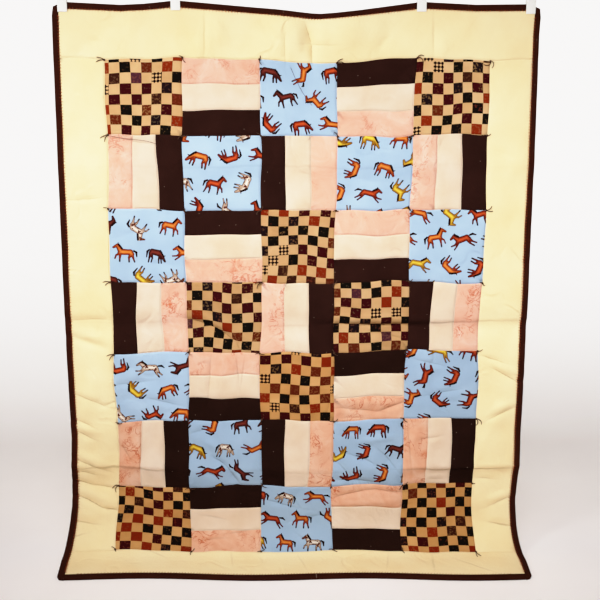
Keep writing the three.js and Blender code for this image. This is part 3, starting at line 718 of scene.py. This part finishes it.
def offSheet(x, v, lift):
    # a place at a height over the middle of the sheet, in metres
    x, v, lift = (np.asarray(a, float) for a in np.broadcast_arrays(x, v, lift))
    step = 1        # mm to either side
    down = sheetPoint(x, v + step) - sheetPoint(x, v - step)
    side = sheetPoint(x + step, v) - sheetPoint(x - step, v)
    normal = np.cross(down, side)
    normal /= np.linalg.norm(normal, axis=-1, keepdims=True)
    return (sheetPoint(x, v) + normal * lift[..., None]) * mm


def swell(share):
    return np.sqrt(np.abs(np.sin(np.pi * share)))


def puff(x, v):
    # height of the face over its seams: none on a seam, full between seams
    x, v = np.asarray(x, float), np.asarray(v, float)
    col, row = (x + patchHalf) / quilt["blockWide"], (v - quilt["topMargin"]) / quilt["blockTall"]
    c = np.clip(np.floor(col), 0, columns - 1).astype(int)
    r = np.clip(np.floor(row), 0, rows - 1).astype(int)
    endings = np.array([[block[-1] for block in line] for line in quilt["blocks"]])[r, c]
    across, down, strips = col - c, row - r, quilt["strips"]
    height = quilt["puff"]
    lying = height["strip"] * swell(strips * down) * swell(across)
    standing = height["strip"] * swell(strips * across) * swell(down)
    whole = height["whole"] * swell(across) * swell(down)
    patch = np.where(endings == "=", lying, np.where(endings == "|", standing, whole))
    edge = quilt["binding"]
    inSide = np.clip(halfWidth - np.abs(x) - edge, 0, None)
    inEnd = np.clip(np.minimum(v, length - v) - edge, 0, None)
    endWide = np.where(row < 0, quilt["topMargin"], quilt["footMargin"]) - edge
    ends = swell(inEnd / endWide) * swell(np.clip(inSide / quilt["puffRise"], 0, 0.5))
    fromSeam = np.clip(np.minimum(row, rows - row) * quilt["blockTall"] / quilt["puffRise"], 0, 0.5)
    sides = swell(inSide / (quilt["sideMargin"] - edge)) * swell(fromSeam)
    border = height["border"] * np.where((row < 0) | (row > rows), ends, sides)
    inside = (col >= 0) & (col <= columns) & (row >= 0) & (row <= rows)
    return np.where(inside, patch, border)


def frontHeight(x, v):
    return quilt["seamHalf"] + puff(x, v)


def backHeight(x, v):
    return -quilt["seamHalf"] - quilt["backPuff"] * puff(x, v)


def stations(start, firstMargin, firstSteps, blocks, size, lastMargin, lastSteps):
    tuck = quilt["edgeTuck"]
    first = np.linspace(start + tuck, start + firstMargin, firstSteps + 1)
    steps = quilt["blockSteps"]
    middle = start + firstMargin + np.arange(1, blocks * steps + 1) * size / steps
    last = np.linspace(middle[-1], middle[-1] + lastMargin - tuck, lastSteps + 1)[1:]
    return np.concatenate([first, middle, last])


xPlaces = stations(-halfWidth, quilt["sideMargin"], quilt["sideSteps"], columns, quilt["blockWide"],
                   quilt["sideMargin"], quilt["sideSteps"])
vPlaces = stations(0, quilt["topMargin"], quilt["topSteps"], rows, quilt["blockTall"],
                   quilt["footMargin"], quilt["topSteps"])


def addPiece(name, mesh, slot, *nodes):
    piece = bpy.data.objects.new(name, mesh)
    scene.collection.objects.link(piece)
    mesh.shade_smooth()
    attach(piece, "root")
    if nodes:
        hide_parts(*nodes)
    return piece


def newMesh(name, bm, *materials):
    mesh = bpy.data.meshes.new(name)
    bm.to_mesh(mesh)
    bm.free()
    for material in materials:
        mesh.materials.append(material)
    return mesh


def readAll(items, name, width=1):
    # numbers of all faces or corners, or places of all vertices
    values = np.empty(len(items) * width, int if width == 1 else float)
    items.foreach_get(name, values)
    return values if width == 1 else values.reshape(-1, width)


def addPlaces(mesh, name, domain, places):
    attribute = mesh.attributes.new(name, "FLOAT_VECTOR", domain)
    attribute.data.foreach_set("vector", np.asarray(places, np.float32).ravel())


def patchAt(x, v):
    # fabric key of a patch, its number, the turn of its grain and its rectangle
    wide, tall, strips = quilt["blockWide"], quilt["blockTall"], quilt["strips"]
    col, row = (x + patchHalf) / wide, (v - quilt["topMargin"]) / tall
    foot = length - quilt["footMargin"]
    if row < 0:
        return "y", cloths["top"], 0, (-halfWidth, halfWidth, quilt["binding"], quilt["topMargin"])
    if row >= rows:
        return "y", cloths["foot"], 0, (-halfWidth, halfWidth, foot, length - quilt["binding"])
    if not 0 <= col < columns:
        side = 1 if x > 0 else -1
        edges = sorted([side * patchHalf, side * (halfWidth - quilt["binding"])])
        return "y", cloths["side"] + side, 90, (*edges, quilt["topMargin"], foot)
    c, r = int(col), int(row)
    block = quilt["blocks"][r][c]
    number = (r * columns + c) * strips
    left, top = c * wide - patchHalf, quilt["topMargin"] + r * tall
    if block[-1] == "=":
        strip = int((row - r) * strips)
        top += strip * tall / strips
        return block[strip], number + strip, 0, (left, left + wide, top, top + tall / strips)
    if block[-1] == "|":
        strip = int((col - c) * strips)
        left += strip * wide / strips
        return block[strip], number + strip, 90, (left, left + wide / strips, top, top + tall)
    return block, number, 0, (left, left + wide, top, top + tall)


def gridRim(start, xSteps, vSteps):
    # vertex numbers round a grid, counter-clockwise
    index = start + np.arange((xSteps + 1) * (vSteps + 1)).reshape(vSteps + 1, xSteps + 1)
    return [*index[0, :-1], *index[:-1, -1], *index[-1, :0:-1], *index[:0:-1, 0]]


def makeSheet():
    # a fine grid for the face, one of half as many steps for the back, sewn together round the rim
    xSteps, vSteps = len(xPlaces) - 1, len(vPlaces) - 1
    bm = bmesh.new()
    bmesh.ops.create_grid(bm, x_segments=xSteps, y_segments=vSteps, size=1)
    frontCount = len(bm.verts)
    behind = bmesh.ops.create_grid(bm, x_segments=xSteps // 2, y_segments=vSteps // 2, size=1)["verts"]
    bmesh.ops.reverse_faces(bm, faces=list({f for vert in behind for f in vert.link_faces}))
    bm.verts.ensure_lookup_table()
    fore = [bm.verts[i] for i in gridRim(0, xSteps, vSteps)]
    back = [bm.verts[i] for i in gridRim(frontCount, xSteps // 2, vSteps // 2)]
    for k in range(len(back)):
        here, half, ahead = fore[2 * k], fore[2 * k + 1], fore[(2 * k + 2) % len(fore)]
        bm.faces.new((half, here, back[k]))
        bm.faces.new((ahead, half, back[k], back[(k + 1) % len(back)]))
    mesh = newMesh("quilt_sheet", bm, *fabrics.values())

    flat = readAll(mesh.vertices, "co", 3)
    x = xPlaces[np.rint((flat[:, 0] + 1) / 2 * xSteps).astype(int)]
    v = vPlaces[np.rint((1 - flat[:, 1]) / 2 * vSteps).astype(int)]
    front = np.arange(len(flat)) < frontCount
    lift = np.where(front, frontHeight(x, v), backHeight(x, v))
    mesh.vertices.foreach_set("co", offSheet(x, v, lift).ravel())

    # a fabric for each face, and each corner's place on the cloth it was cut from
    keys = list(fabrics)
    corners = readAll(mesh.loops, "vertex_index")
    starts = readAll(mesh.polygons, "loop_start")
    sizes = np.diff(np.append(starts, len(corners)))
    faceOf = np.repeat(np.arange(len(starts)), sizes)
    centreX = np.bincount(faceOf, x[corners]) / sizes
    centreV = np.bincount(faceOf, v[corners]) / sizes
    isFront = np.bincount(faceOf, front[corners]) == sizes
    wholeBack = (-halfWidth, halfWidth, 0, length)
    slots, facts = np.zeros(len(starts), int), np.zeros((len(starts), 6))
    for i in range(len(starts)):
        patch = patchAt(centreX[i], centreV[i]) if isFront[i] else ("back", cloths["back"], 0, wholeBack)
        slots[i] = keys.index(patch[0])
        facts[i] = patch[1], patch[2], *patch[3]
    mesh.polygons.foreach_set("material_index", slots)
    spread, tilt = cloths["spreadMm"], cloths["tilt"]
    offsets = dice.uniform(-spread, spread, (cloths["count"], 2))
    tilts = np.radians(dice.uniform(-tilt, tilt, cloths["count"]))
    number, turn, left, right, top, foot = facts[faceOf].T
    number = number.astype(int)
    angle = np.radians(turn) + tilts[number]
    cornerX, cornerV = x[corners], v[corners]
    cutX, cutV = hiddenCloth(cornerX, cornerV)
    along = cutX * np.cos(angle) + cutV * np.sin(angle) + offsets[number, 0]
    across = cutX * np.sin(angle) - cutV * np.cos(angle) + offsets[number, 1]
    toSide = np.minimum(cornerX - left, right - cornerX)
    toEnd = np.minimum(cornerV - top, foot - cornerV)
    nearest = np.maximum(0, np.minimum(toSide, toEnd))
    onSeam = np.where(toSide < toEnd, cornerV, cornerX)
    offCrease, pinched = creaseLines(centreX, centreV, faceOf, cornerX, cornerV)
    pinched = pinched * isFront[faceOf]
    addPlaces(mesh, "clothPlace", "CORNER", np.stack([along, across, number + 0.5], -1))
    addPlaces(mesh, "seamPlace", "CORNER", np.stack([nearest, onSeam, number], -1))
    addPlaces(mesh, "creasePlace", "CORNER", np.stack([offCrease, pinched, number], -1))
    mesh.update()
    return addPiece("quilt_sheet", mesh, "patchwork", "quilt_body")


quiltSheet = makeSheet()
print("sheet faces:", len(quiltSheet.data.polygons))


# Binding: a folded strip round each edge, a little scalloped where it is whipped down.
binding = {"stepMm": 2.6, "outer": 3.5, "inner": 2.5, "noseMm": 2.4, "tuck": 1.5, "gap": 0.3,
           "hemDrop": 0.4, "hemRound": 1.2, "crown": 0.15, "crownAt": 0.6, "footExtra": 6.5,
           "noseTurns": (30, 60, 90, 120, 150),
           "scallopMm": 7.4, "scallopDeep": 0.7, "lumpMm": (17, 29), "lumpDeep": 0.3,
           # how the inner edge drifts: depth, length, phase
           "drift": [(0.5, 71, 0), (0.4, 43, 1)],
           # stations at an end, and how far in and how nearly the side strips are folded shut there
           "first": 2.4, "close": [0.1, 1.5, 1.65], "shut": 1.6, "shutTo": 0.02}
upright = ("left", "right")
sides = (*upright, "top", "foot")


def bindingWidth(side):
    return quilt["binding"] + (binding["footExtra"] if side == "foot" else 0)


def edgePlace(side, along, inward, full):
    # flat place for a distance along an edge and one in from it
    if side in upright:
        return inward - halfWidth if side == "left" else halfWidth - inward, along
    return along - full / 2, inward if side == "top" else length - inward


def bindingSection(width):
    # distance in from the edge and height, round the strip from its inner edge on the face
    outer, nose = binding["outer"], binding["noseMm"]
    over = [(width, outer - binding["hemDrop"]), (width - binding["hemRound"], outer),
            (width * binding["crownAt"], outer + binding["crown"]), (nose, outer)]
    turns = np.radians(binding["noseTurns"])
    bends = [(nose * (1 - math.sin(turn)), outer * math.cos(turn)) for turn in turns]
    under = [(d, -n) for d, n in reversed(over)]
    lining = [(width, -binding["inner"]), (binding["tuck"], -binding["inner"]),
              (binding["tuck"], binding["inner"]), (width, binding["inner"])]
    return over + bends + under + lining


def makeBinding(side):
    full = length if side in upright else 2 * (halfWidth - quilt["binding"] - binding["gap"])
    close = binding["close"] if side in upright else binding["close"][:1]
    at = np.linspace(binding["first"], full - binding["first"], round(full / binding["stepMm"]))
    at = np.concatenate([[0], close, at, full - np.array(close[::-1]), [full]])
    steps = len(at) - 1
    width = bindingWidth(side)
    ring = len(bindingSection(width))
    bm = bmesh.new()
    bmesh.ops.create_grid(bm, x_segments=steps, y_segments=ring, size=1)
    scallop = binding["scallopDeep"] * np.abs(np.sin(np.pi * at / binding["scallopMm"]))
    drift = sum(depth * np.sin(at / reach + phase) for depth, reach, phase in binding["drift"])
    lumps = binding["lumpDeep"] * np.prod([np.sin(at / reach) for reach in binding["lumpMm"]], axis=0)
    sections = []
    for along, deep, lump in zip(at, scallop + drift, lumps):
        section = bindingSection(width)
        section[:2] = [(d + deep, n) for d, n in section[:2]]
        section[2] = (section[2][0], section[2][1] + lump)
        if side in upright and min(along, full - along) < binding["shut"]:
            section[-4:] = [(d, n * binding["shutTo"]) for d, n in section[-4:]]
        sections.append([(along, d, n) for d, n in section + section[:1]])
    along, inward, lift = np.array(sections).transpose(2, 0, 1)
    places = offSheet(*edgePlace(side, along, inward, full), lift)
    for vert, place in zip(bm.verts, places.swapaxes(0, 1).reshape(-1, 3)):     # a grid counts along x first
        vert.co = place
    bmesh.ops.remove_doubles(bm, verts=bm.verts, dist=1e-6)
    bmesh.ops.holes_fill(bm, edges=[e for e in bm.edges if e.is_boundary], sides=0)
    bmesh.ops.recalc_face_normals(bm, faces=bm.faces)
    mesh = newMesh("binding_strip_" + side, bm, bindingCotton)
    # the cloth place is the hung place in mm, along the strip first
    order = [2, 0, 1] if side in upright else [0, 2, 1]
    addPlaces(mesh, "clothPlace", "POINT", readAll(mesh.vertices, "co", 3)[:, order] / mm)
    return addPiece("binding_strip_" + side, mesh, "binding", "binding_" + side)


bindingCotton = cotton("chocolate binding cotton", darkDye, "#33160d", "#3a1a10", shine=0.04, sewn=False)
bindingStrips = [makeBinding(side) for side in sides]
print("binding strips:", len(bindingStrips))


# Threads: round strands over the sheet, joined in one mesh; each has places, heights and radii in mm.

def makeThreads(name, strands, slot, material, nodes=(), roundness=1):
    strands = [np.broadcast_arrays(*strand) for strand in strands]
    x, v, lift, radii = (np.concatenate(parts) for parts in zip(*strands))
    places = np.column_stack([offSheet(x, v, lift), np.ones(len(x))])
    curve = bpy.data.curves.new(name, "CURVE")
    curve.dimensions = "3D"
    curve.bevel_depth = 1.0
    curve.bevel_resolution = roundness
    curve.use_fill_caps = True
    start = 0
    for strand in strands:
        end = start + len(strand[0])
        spline = curve.splines.new("POLY")
        spline.points.add(end - start - 1)
        spline.points.foreach_set("co", places[start:end].ravel())
        spline.points.foreach_set("radius", radii[start:end] * mm)
        start = end
    helper = bpy.data.objects.new(name + "_curve", curve)
    scene.collection.objects.link(helper)
    mesh = bpy.data.meshes.new_from_object(helper.evaluated_get(bpy.context.evaluated_depsgraph_get()))
    bpy.data.objects.remove(helper)
    mesh.name = name
    mesh.materials.clear()
    mesh.materials.append(material)
    return addPiece(name, mesh, slot, *nodes)


# Ties: a knot at each block corner with two free tails. Angles turn from +x upwards.
ties = {
    "thread": 1.0, "tip": 0.7, "tipFrom": 0.85, "off": 0.15, "points": 9, "start": 0.04,
    "tail": 19, "tailSpread": (0.85, 1.1), "shortTail": (7, 15), "curl": 28,
    "lift": 1.1, "liftSpread": (0.5, 1.6), "spinRow": 67, "spinCol": 131, "apart": 150,
    # the knot: a wrap and a half and a little more, climbing
    "knot": 1.2, "knotTurns": 1.65, "knotPoints": 16, "knotRing": 1.35, "knotSway": 0.3, "knotRise": 1.6,
    "knotOff": 0.2,
    # the short stitch on the back
    "backStitch": 3.5, "backPoints": 5, "backSlope": 0.4, "backOff": 1.1, "backSink": 0.5,
    # row, column, the two tails' angles and how far they curl
    "seen": [
        (0, 0, 135, 170, 28), (0, 3, 40, 75, -40), (0, 4, 85, 30, -70), (0, 5, 15, -60, -90),
        (1, 0, 175, 215, 28), (1, 4, 165, 200, 40), (2, 5, -35, 10, 30), (3, 0, 180, 150, 28),
        (3, 2, 160, 195, 40), (4, 0, 165, 205, 28), (5, 5, -30, 15, -60), (6, 0, 190, 150, 60),
        (7, 5, -75, -105, 20),
    ],
}


def tieStrands():
    strands = []
    seen = {row[:2]: row[2:] for row in ties["seen"]}
    thread, knot = ties["thread"], ties["knot"]
    shares = np.linspace(ties["start"], 1, ties["points"])
    radii = np.interp(shares, [0, ties["tipFrom"], 1], [thread, thread, ties["tip"]])
    turns = np.linspace(0, fullTurn * ties["knotTurns"], ties["knotPoints"])
    ring = ties["knotRing"] * knot + ties["knotSway"] * np.sin(2 * turns)
    climb = ties["knotOff"] + np.linspace(0, ties["knotRise"], ties["knotPoints"])
    bar = np.linspace(-1, 1, ties["backPoints"])
    under = thread * (ties["backOff"] - ties["backSink"] * np.abs(bar))
    bar = bar * ties["backStitch"]
    for row in range(rows + 1):
        for col in range(columns + 1):
            x, v = blockPlace(col, row)
            spun = ties["spinRow"] * row + ties["spinCol"] * col
            first, second, curl = seen.get((row, col), (spun, spun + ties["apart"], ties["curl"]))
            tails = ties["tail"] * dice.uniform(*ties["tailSpread"], 2)
            if (row, col) not in seen:
                tails = dice.uniform(*ties["shortTail"], 2)
            for angle, tail in zip((first, second), tails):
                heading = np.radians(angle + curl * shares)
                tailX = x + tail * shares * np.cos(heading)
                tailV = v - tail * shares * np.sin(heading)
                arch = ties["lift"] * np.sin(np.pi * shares) * dice.uniform(*ties["liftSpread"])
                strands.append((tailX, tailV, frontHeight(tailX, tailV) + radii + ties["off"] + arch, radii))
            rise = frontHeight(x, v) + knot + climb
            strands.append((x + ring * np.cos(turns), v + ring * np.sin(turns), rise, knot))
            barX, barV = x + bar, v + ties["backSlope"] * bar
            strands.append((barX, barV, backHeight(barX, barV) - under, thread))
    return strands


tieNodes = [f"tie_{row}_{col}" for row in range(rows + 1) for col in range(columns + 1)]
brownThread = threadMaterial("brown tie thread", "#5b3d2b", "#2f1b14")
cornerTies = makeThreads("corner_ties", tieStrands(), "tie_thread", brownThread, tieNodes)
print("ties:", len(tieNodes))


# Whip stitches: short slanted strands that hold the binding's inner edge down.
whip = {"pitchMm": 7.4, "slantMm": 3.2, "scatter": 0.5, "over": 2.2, "under": 3.0, "ends": 2,
        "thread": 0.8, "taper": (0.8, 1, 0.7), "off": 0.2, "sunk": 0.15}


def whipStrands():
    strands = []
    shares = np.array([0, 0.5, 1])
    radii = np.array(whip["taper"]) * whip["thread"]
    for side in sides:
        full = length if side in upright else 2 * halfWidth
        width = bindingWidth(side)
        inward = width - whip["over"] + shares * (whip["over"] + whip["under"])
        for at in np.arange(width * whip["ends"], full - width * whip["ends"], whip["pitchMm"]):
            along = at + whip["slantMm"] * (shares - 0.5) + dice.normal(0, whip["scatter"])
            x, v = edgePlace(side, along, inward, full)
            lift = np.full(len(shares), binding["outer"] + whip["off"] + whip["thread"])
            lift[-1] = frontHeight(x, v)[-1] + whip["sunk"]
            strands.append((x, v, lift, radii))
    return strands


# Loose ends of thread that cling to the face: places in blocks across and down.
loose = {"points": 24, "curve": 3, "lift": 0.8, "radius": 0.42, "ends": [
    [(2.38, 0.07), (2.42, 0.17), (2.47, 0.27), (2.55, 0.42), (2.67, 0.57)],
    [(0.04, 1.02), (0.25, 1.05), (0.45, 1.06), (0.69, 1.13)],
]}


def looseStrands():
    strands = []
    fine = np.linspace(0, 1, loose["points"])
    for ends in loose["ends"]:
        steps = np.linspace(0, 1, len(ends))
        places = blockPlace(*np.array(ends).T)
        x, v = (np.polyval(np.polyfit(steps, place, loose["curve"]), fine) for place in places)
        strands.append((x, v, frontHeight(x, v) + loose["lift"], loose["radius"]))
    return strands


looseThreads = makeThreads("loose_threads", looseStrands(), "tie_thread", brownThread)
print("loose threads:", len(loose["ends"]))

rustThread = threadMaterial("rust sewing thread", "#bd6030", "#8c4421")
whipStitches = makeThreads("whip_stitches", whipStrands(), "binding", rustThread, roundness=0)
print("whip stitches:", len(whipStitches.data.polygons), "faces")


# Clips: two levers on a pin, with a coil spring between their grips.
clip = {"wide": 23, "reach": 23, "jaw": 2.6, "open": 3.85, "bridge": 9, "rise": 30, "spread": 12,
        "grip": 2.6, "lipThin": 0.6, "lipTall": 3, "waist": 2.4, "pinWall": 1.9, "heel": 3.2,
        "heelFoot": 1.6, "round": 0.7, "roundSteps": 3, "roundFrom": 50, "sharpFrom": 40,
        "pin": 1.6, "pinHeight": 6.5, "pinShort": 1, "pinSides": 20,
        "wire": 0.7, "wireSides": 8, "coil": 2.9, "turns": 5, "turnSteps": 14, "looseness": 1.15}


def leverOutline(front):
    # side profile of one lever: jaw, waist at the pin and grip
    side = -1 if front else 1
    outer, lip, bridge = clip["open"] + clip["jaw"], -clip["reach"], clip["bridge"]
    points = [(clip["open"], lip), (outer - clip["lipThin"], lip), (outer, lip + clip["lipTall"]),
              (outer, bridge / 2), (clip["spread"], clip["rise"]),
              (clip["spread"] - clip["grip"], clip["rise"]), (outer - clip["waist"], bridge),
              (clip["pinWall"], bridge), (clip["pinWall"], clip["heel"]), (clip["open"], clip["heelFoot"])]
    return [(side * y, z) for y, z in points]


def makeClip(number, place):
    drop = float(topDrop(place))
    left, pinHeight = (place - clip["wide"] / 2) * mm, (clip["pinHeight"] - drop) * mm
    bm = bmesh.new()
    for front in (True, False):
        face = bm.faces.new([bm.verts.new((left, y * mm, (z - drop) * mm)) for y, z in leverOutline(front)])
        made = bmesh.ops.extrude_face_region(bm, geom=[face])["geom"]
        bmesh.ops.translate(bm, verts=[g for g in made if isinstance(g, bmesh.types.BMVert)],
                            vec=(clip["wide"] * mm, 0, 0))
    bmesh.ops.recalc_face_normals(bm, faces=bm.faces)
    sharp = [e for e in bm.edges if e.calc_face_angle(0) > math.radians(clip["roundFrom"])]
    bmesh.ops.bevel(bm, geom=sharp, offset=clip["round"] * mm, segments=clip["roundSteps"], profile=0.5,
                    affect="EDGES", material=-1)
    plastic = set(bm.faces)
    quarter = math.pi / 2
    pin = Matrix.Translation((place * mm, 0, pinHeight)) @ Matrix.Rotation(quarter, 4, "Y")
    bmesh.ops.create_cone(bm, cap_ends=True, segments=clip["pinSides"], radius1=clip["pin"] * mm,
                          radius2=clip["pin"] * mm, depth=(clip["wide"] - clip["pinShort"]) * mm, matrix=pin)
    # torsion spring round the pin: a wire spun as it moves along
    ring = bmesh.ops.create_circle(bm, segments=clip["wireSides"], radius=clip["wire"] * mm)["verts"]
    start = Vector(((place - clip["turns"]) * mm, 0, pinHeight))
    onCoil = Matrix.Translation(start + Vector((0, clip["coil"] * mm, 0)))
    onCoil = onCoil @ Matrix.Rotation(quarter, 4, "X") @ Matrix.Rotation(quarter, 4, "Y")
    bmesh.ops.transform(bm, verts=ring, matrix=onCoil)
    edges = list({e for vert in ring for e in vert.link_edges})
    advance = 2 * clip["wire"] * clip["looseness"] * mm / clip["turnSteps"]
    bmesh.ops.spin(bm, geom=edges, cent=start, axis=(1, 0, 0), angle=fullTurn * clip["turns"],
                   steps=clip["turnSteps"] * clip["turns"], dvec=(advance, 0, 0))
    bmesh.ops.holes_fill(bm, edges=[e for e in bm.edges if e.is_boundary], sides=0)
    bmesh.ops.recalc_face_normals(bm, faces=bm.faces)
    for face in bm.faces:
        face.material_index = 0 if face in plastic else 1
    name = f"hanger_clip_{number}"
    mesh = newMesh(name, bm, clipPlastic, clipSteel)
    piece = addPiece(name, mesh, "clip_plastic", f"clip_{number}")
    mesh.set_sharp_from_angle(angle=math.radians(clip["sharpFrom"]))
    return piece


clipPlastic, clipSteel = mouldedPlastic(), springSteel()
clips = [makeClip(i + 1, place) for i, place in enumerate(quilt["clips"])]
print("clips:", len(clips))


# Stage: a plain pale floor without an edge in sight, soft light from four sides, the photo's camera.
stage = {"floorSize": 1600, "paper": [(0.3, "#dfd4d1"), (0.7, "#e4dad7")], "fibreScale": 3.0, "world": 0.36,
         "glowNear": 0.23, "glowFar": 0.92, "glowFrom": 0.75, "glowReach": 1.2,
         # watts, place, aim, size and spread of each lamp
         "panels": {
             "front panel": (8.2, (-0.15, -1.7, 0.6), (-0.02, 0, -0.74), (2.2, 0.35), 60),
             "side panel": (4.2, (-2.3, -1.9, 0.5), (0.3, 0, -0.42), (0.7, 0.9), 50),
             # straight down on the part that lies on the floor
             "overhead panel": (0.4, (-0.1, -0.4, 1.0), (-0.1, -0.2, -1.44), (1.3, 0.2), 35),
             # level and narrow, so that it lights the back of the quilt and hardly the floor
             "back panel": (3.4, (0.3, 2.8, -0.45), (0, 0, -0.62), (1.5, 0.7), 42),
         },
         # the camera's response: light that comes in, light that is shown
         "shoulder": [(0, 0), (0.02, 0.0135), (0.06, 0.048), (0.15, 0.139), (0.3, 0.295), (0.55, 0.55),
                      (0.7, 0.7), (0.85, 0.818), (1.0, 0.89), (1.2, 0.943), (1.6, 0.985)]}

# matt paper: an even pale ground with a faint cloud of fibres
paper, add = newMaterial("matt backdrop paper")
place = add("TexCoord", out="Object")
fibre = add("TexNoise", place, out="Fac", Scale=stage["fibreScale"], Detail=3.0)
tone = add("ValToRGB", fibre, stops=stage["paper"])
# the paper behind the quilt has its own light, which grows with distance
behind = add("Math SUBTRACT", add("SeparateXYZ", place, out=1), stage["glowFrom"])
fade = add("Math POWER", math.exp(-1 / stage["glowReach"]), add("Math MAXIMUM", behind, 0.0))
glow = add("Math MULTIPLY_ADD", fade, stage["glowNear"] - stage["glowFar"], stage["glowFar"])
shade(paper, Base_Color=tone, Roughness=0.95, Specular_IOR_Level=0.1, Emission_Color="#fdfcfb",
      Emission_Strength=glow)
bm = bmesh.new()
bmesh.ops.create_grid(bm, x_segments=1, y_segments=1, size=stage["floorSize"] / 2,
                      matrix=Matrix.Translation((0, 0, floorTop * mm)))
floor = bpy.data.objects.new("floor", newMesh("floor", bm, paper))
scene.collection.objects.link(floor)

world = bpy.data.worlds.new("studio")
scene.world = world
world.use_nodes = True
setSockets(world.node_tree.nodes["Background"], {"Color": "#fbfaf8", "Strength": stage["world"]})

for name, (watts, place, aim, size, spread) in stage["panels"].items():
    light = bpy.data.objects.new(name, bpy.data.lights.new(name, "AREA"))
    light.data.energy = watts
    light.data.shape = "RECTANGLE"
    light.data.size, light.data.size_y = size
    light.data.spread = math.radians(spread)
    light.location = place
    light.rotation_euler = (Vector(place) - Vector(aim)).to_track_quat("Z", "Y").to_euler()
    light.visible_camera = False
    scene.collection.objects.link(light)

view = {"place": (-0.101, -2.861, 0.013), "pitch": 14.83, "yaw": 2.14, "roll": 0.36,
        "lens": 69, "sensor": 36}
camera = bpy.data.objects.new("camera", bpy.data.cameras.new("camera"))
camera.data.lens = view["lens"]
camera.data.sensor_width = view["sensor"]
camera.location = view["place"]
camera.rotation_euler = (Matrix.Rotation(-math.radians(view["yaw"]), 3, "Z")
                         @ Matrix.Rotation(math.radians(90 - view["pitch"]), 3, "X")
                         @ Matrix.Rotation(math.radians(view["roll"]), 3, "Z")).to_euler()
scene.collection.objects.link(camera)
scene.camera = camera
scene.view_settings.view_transform = "Standard"
scene.view_settings.use_curve_mapping = True
response = scene.view_settings.curve_mapping
brightest = stage["shoulder"][-1][0]
response.white_level = [brightest] * 3
points = response.curves[3].points
for i, (light, shown) in enumerate(stage["shoulder"]):
    if 0 < i < len(stage["shoulder"]) - 1:
        points.new(light / brightest, shown)
points[len(points) - 1].location = (1.0, stage["shoulder"][-1][1])
response.update()
print("stage set")

bpy.context.view_layer.update()
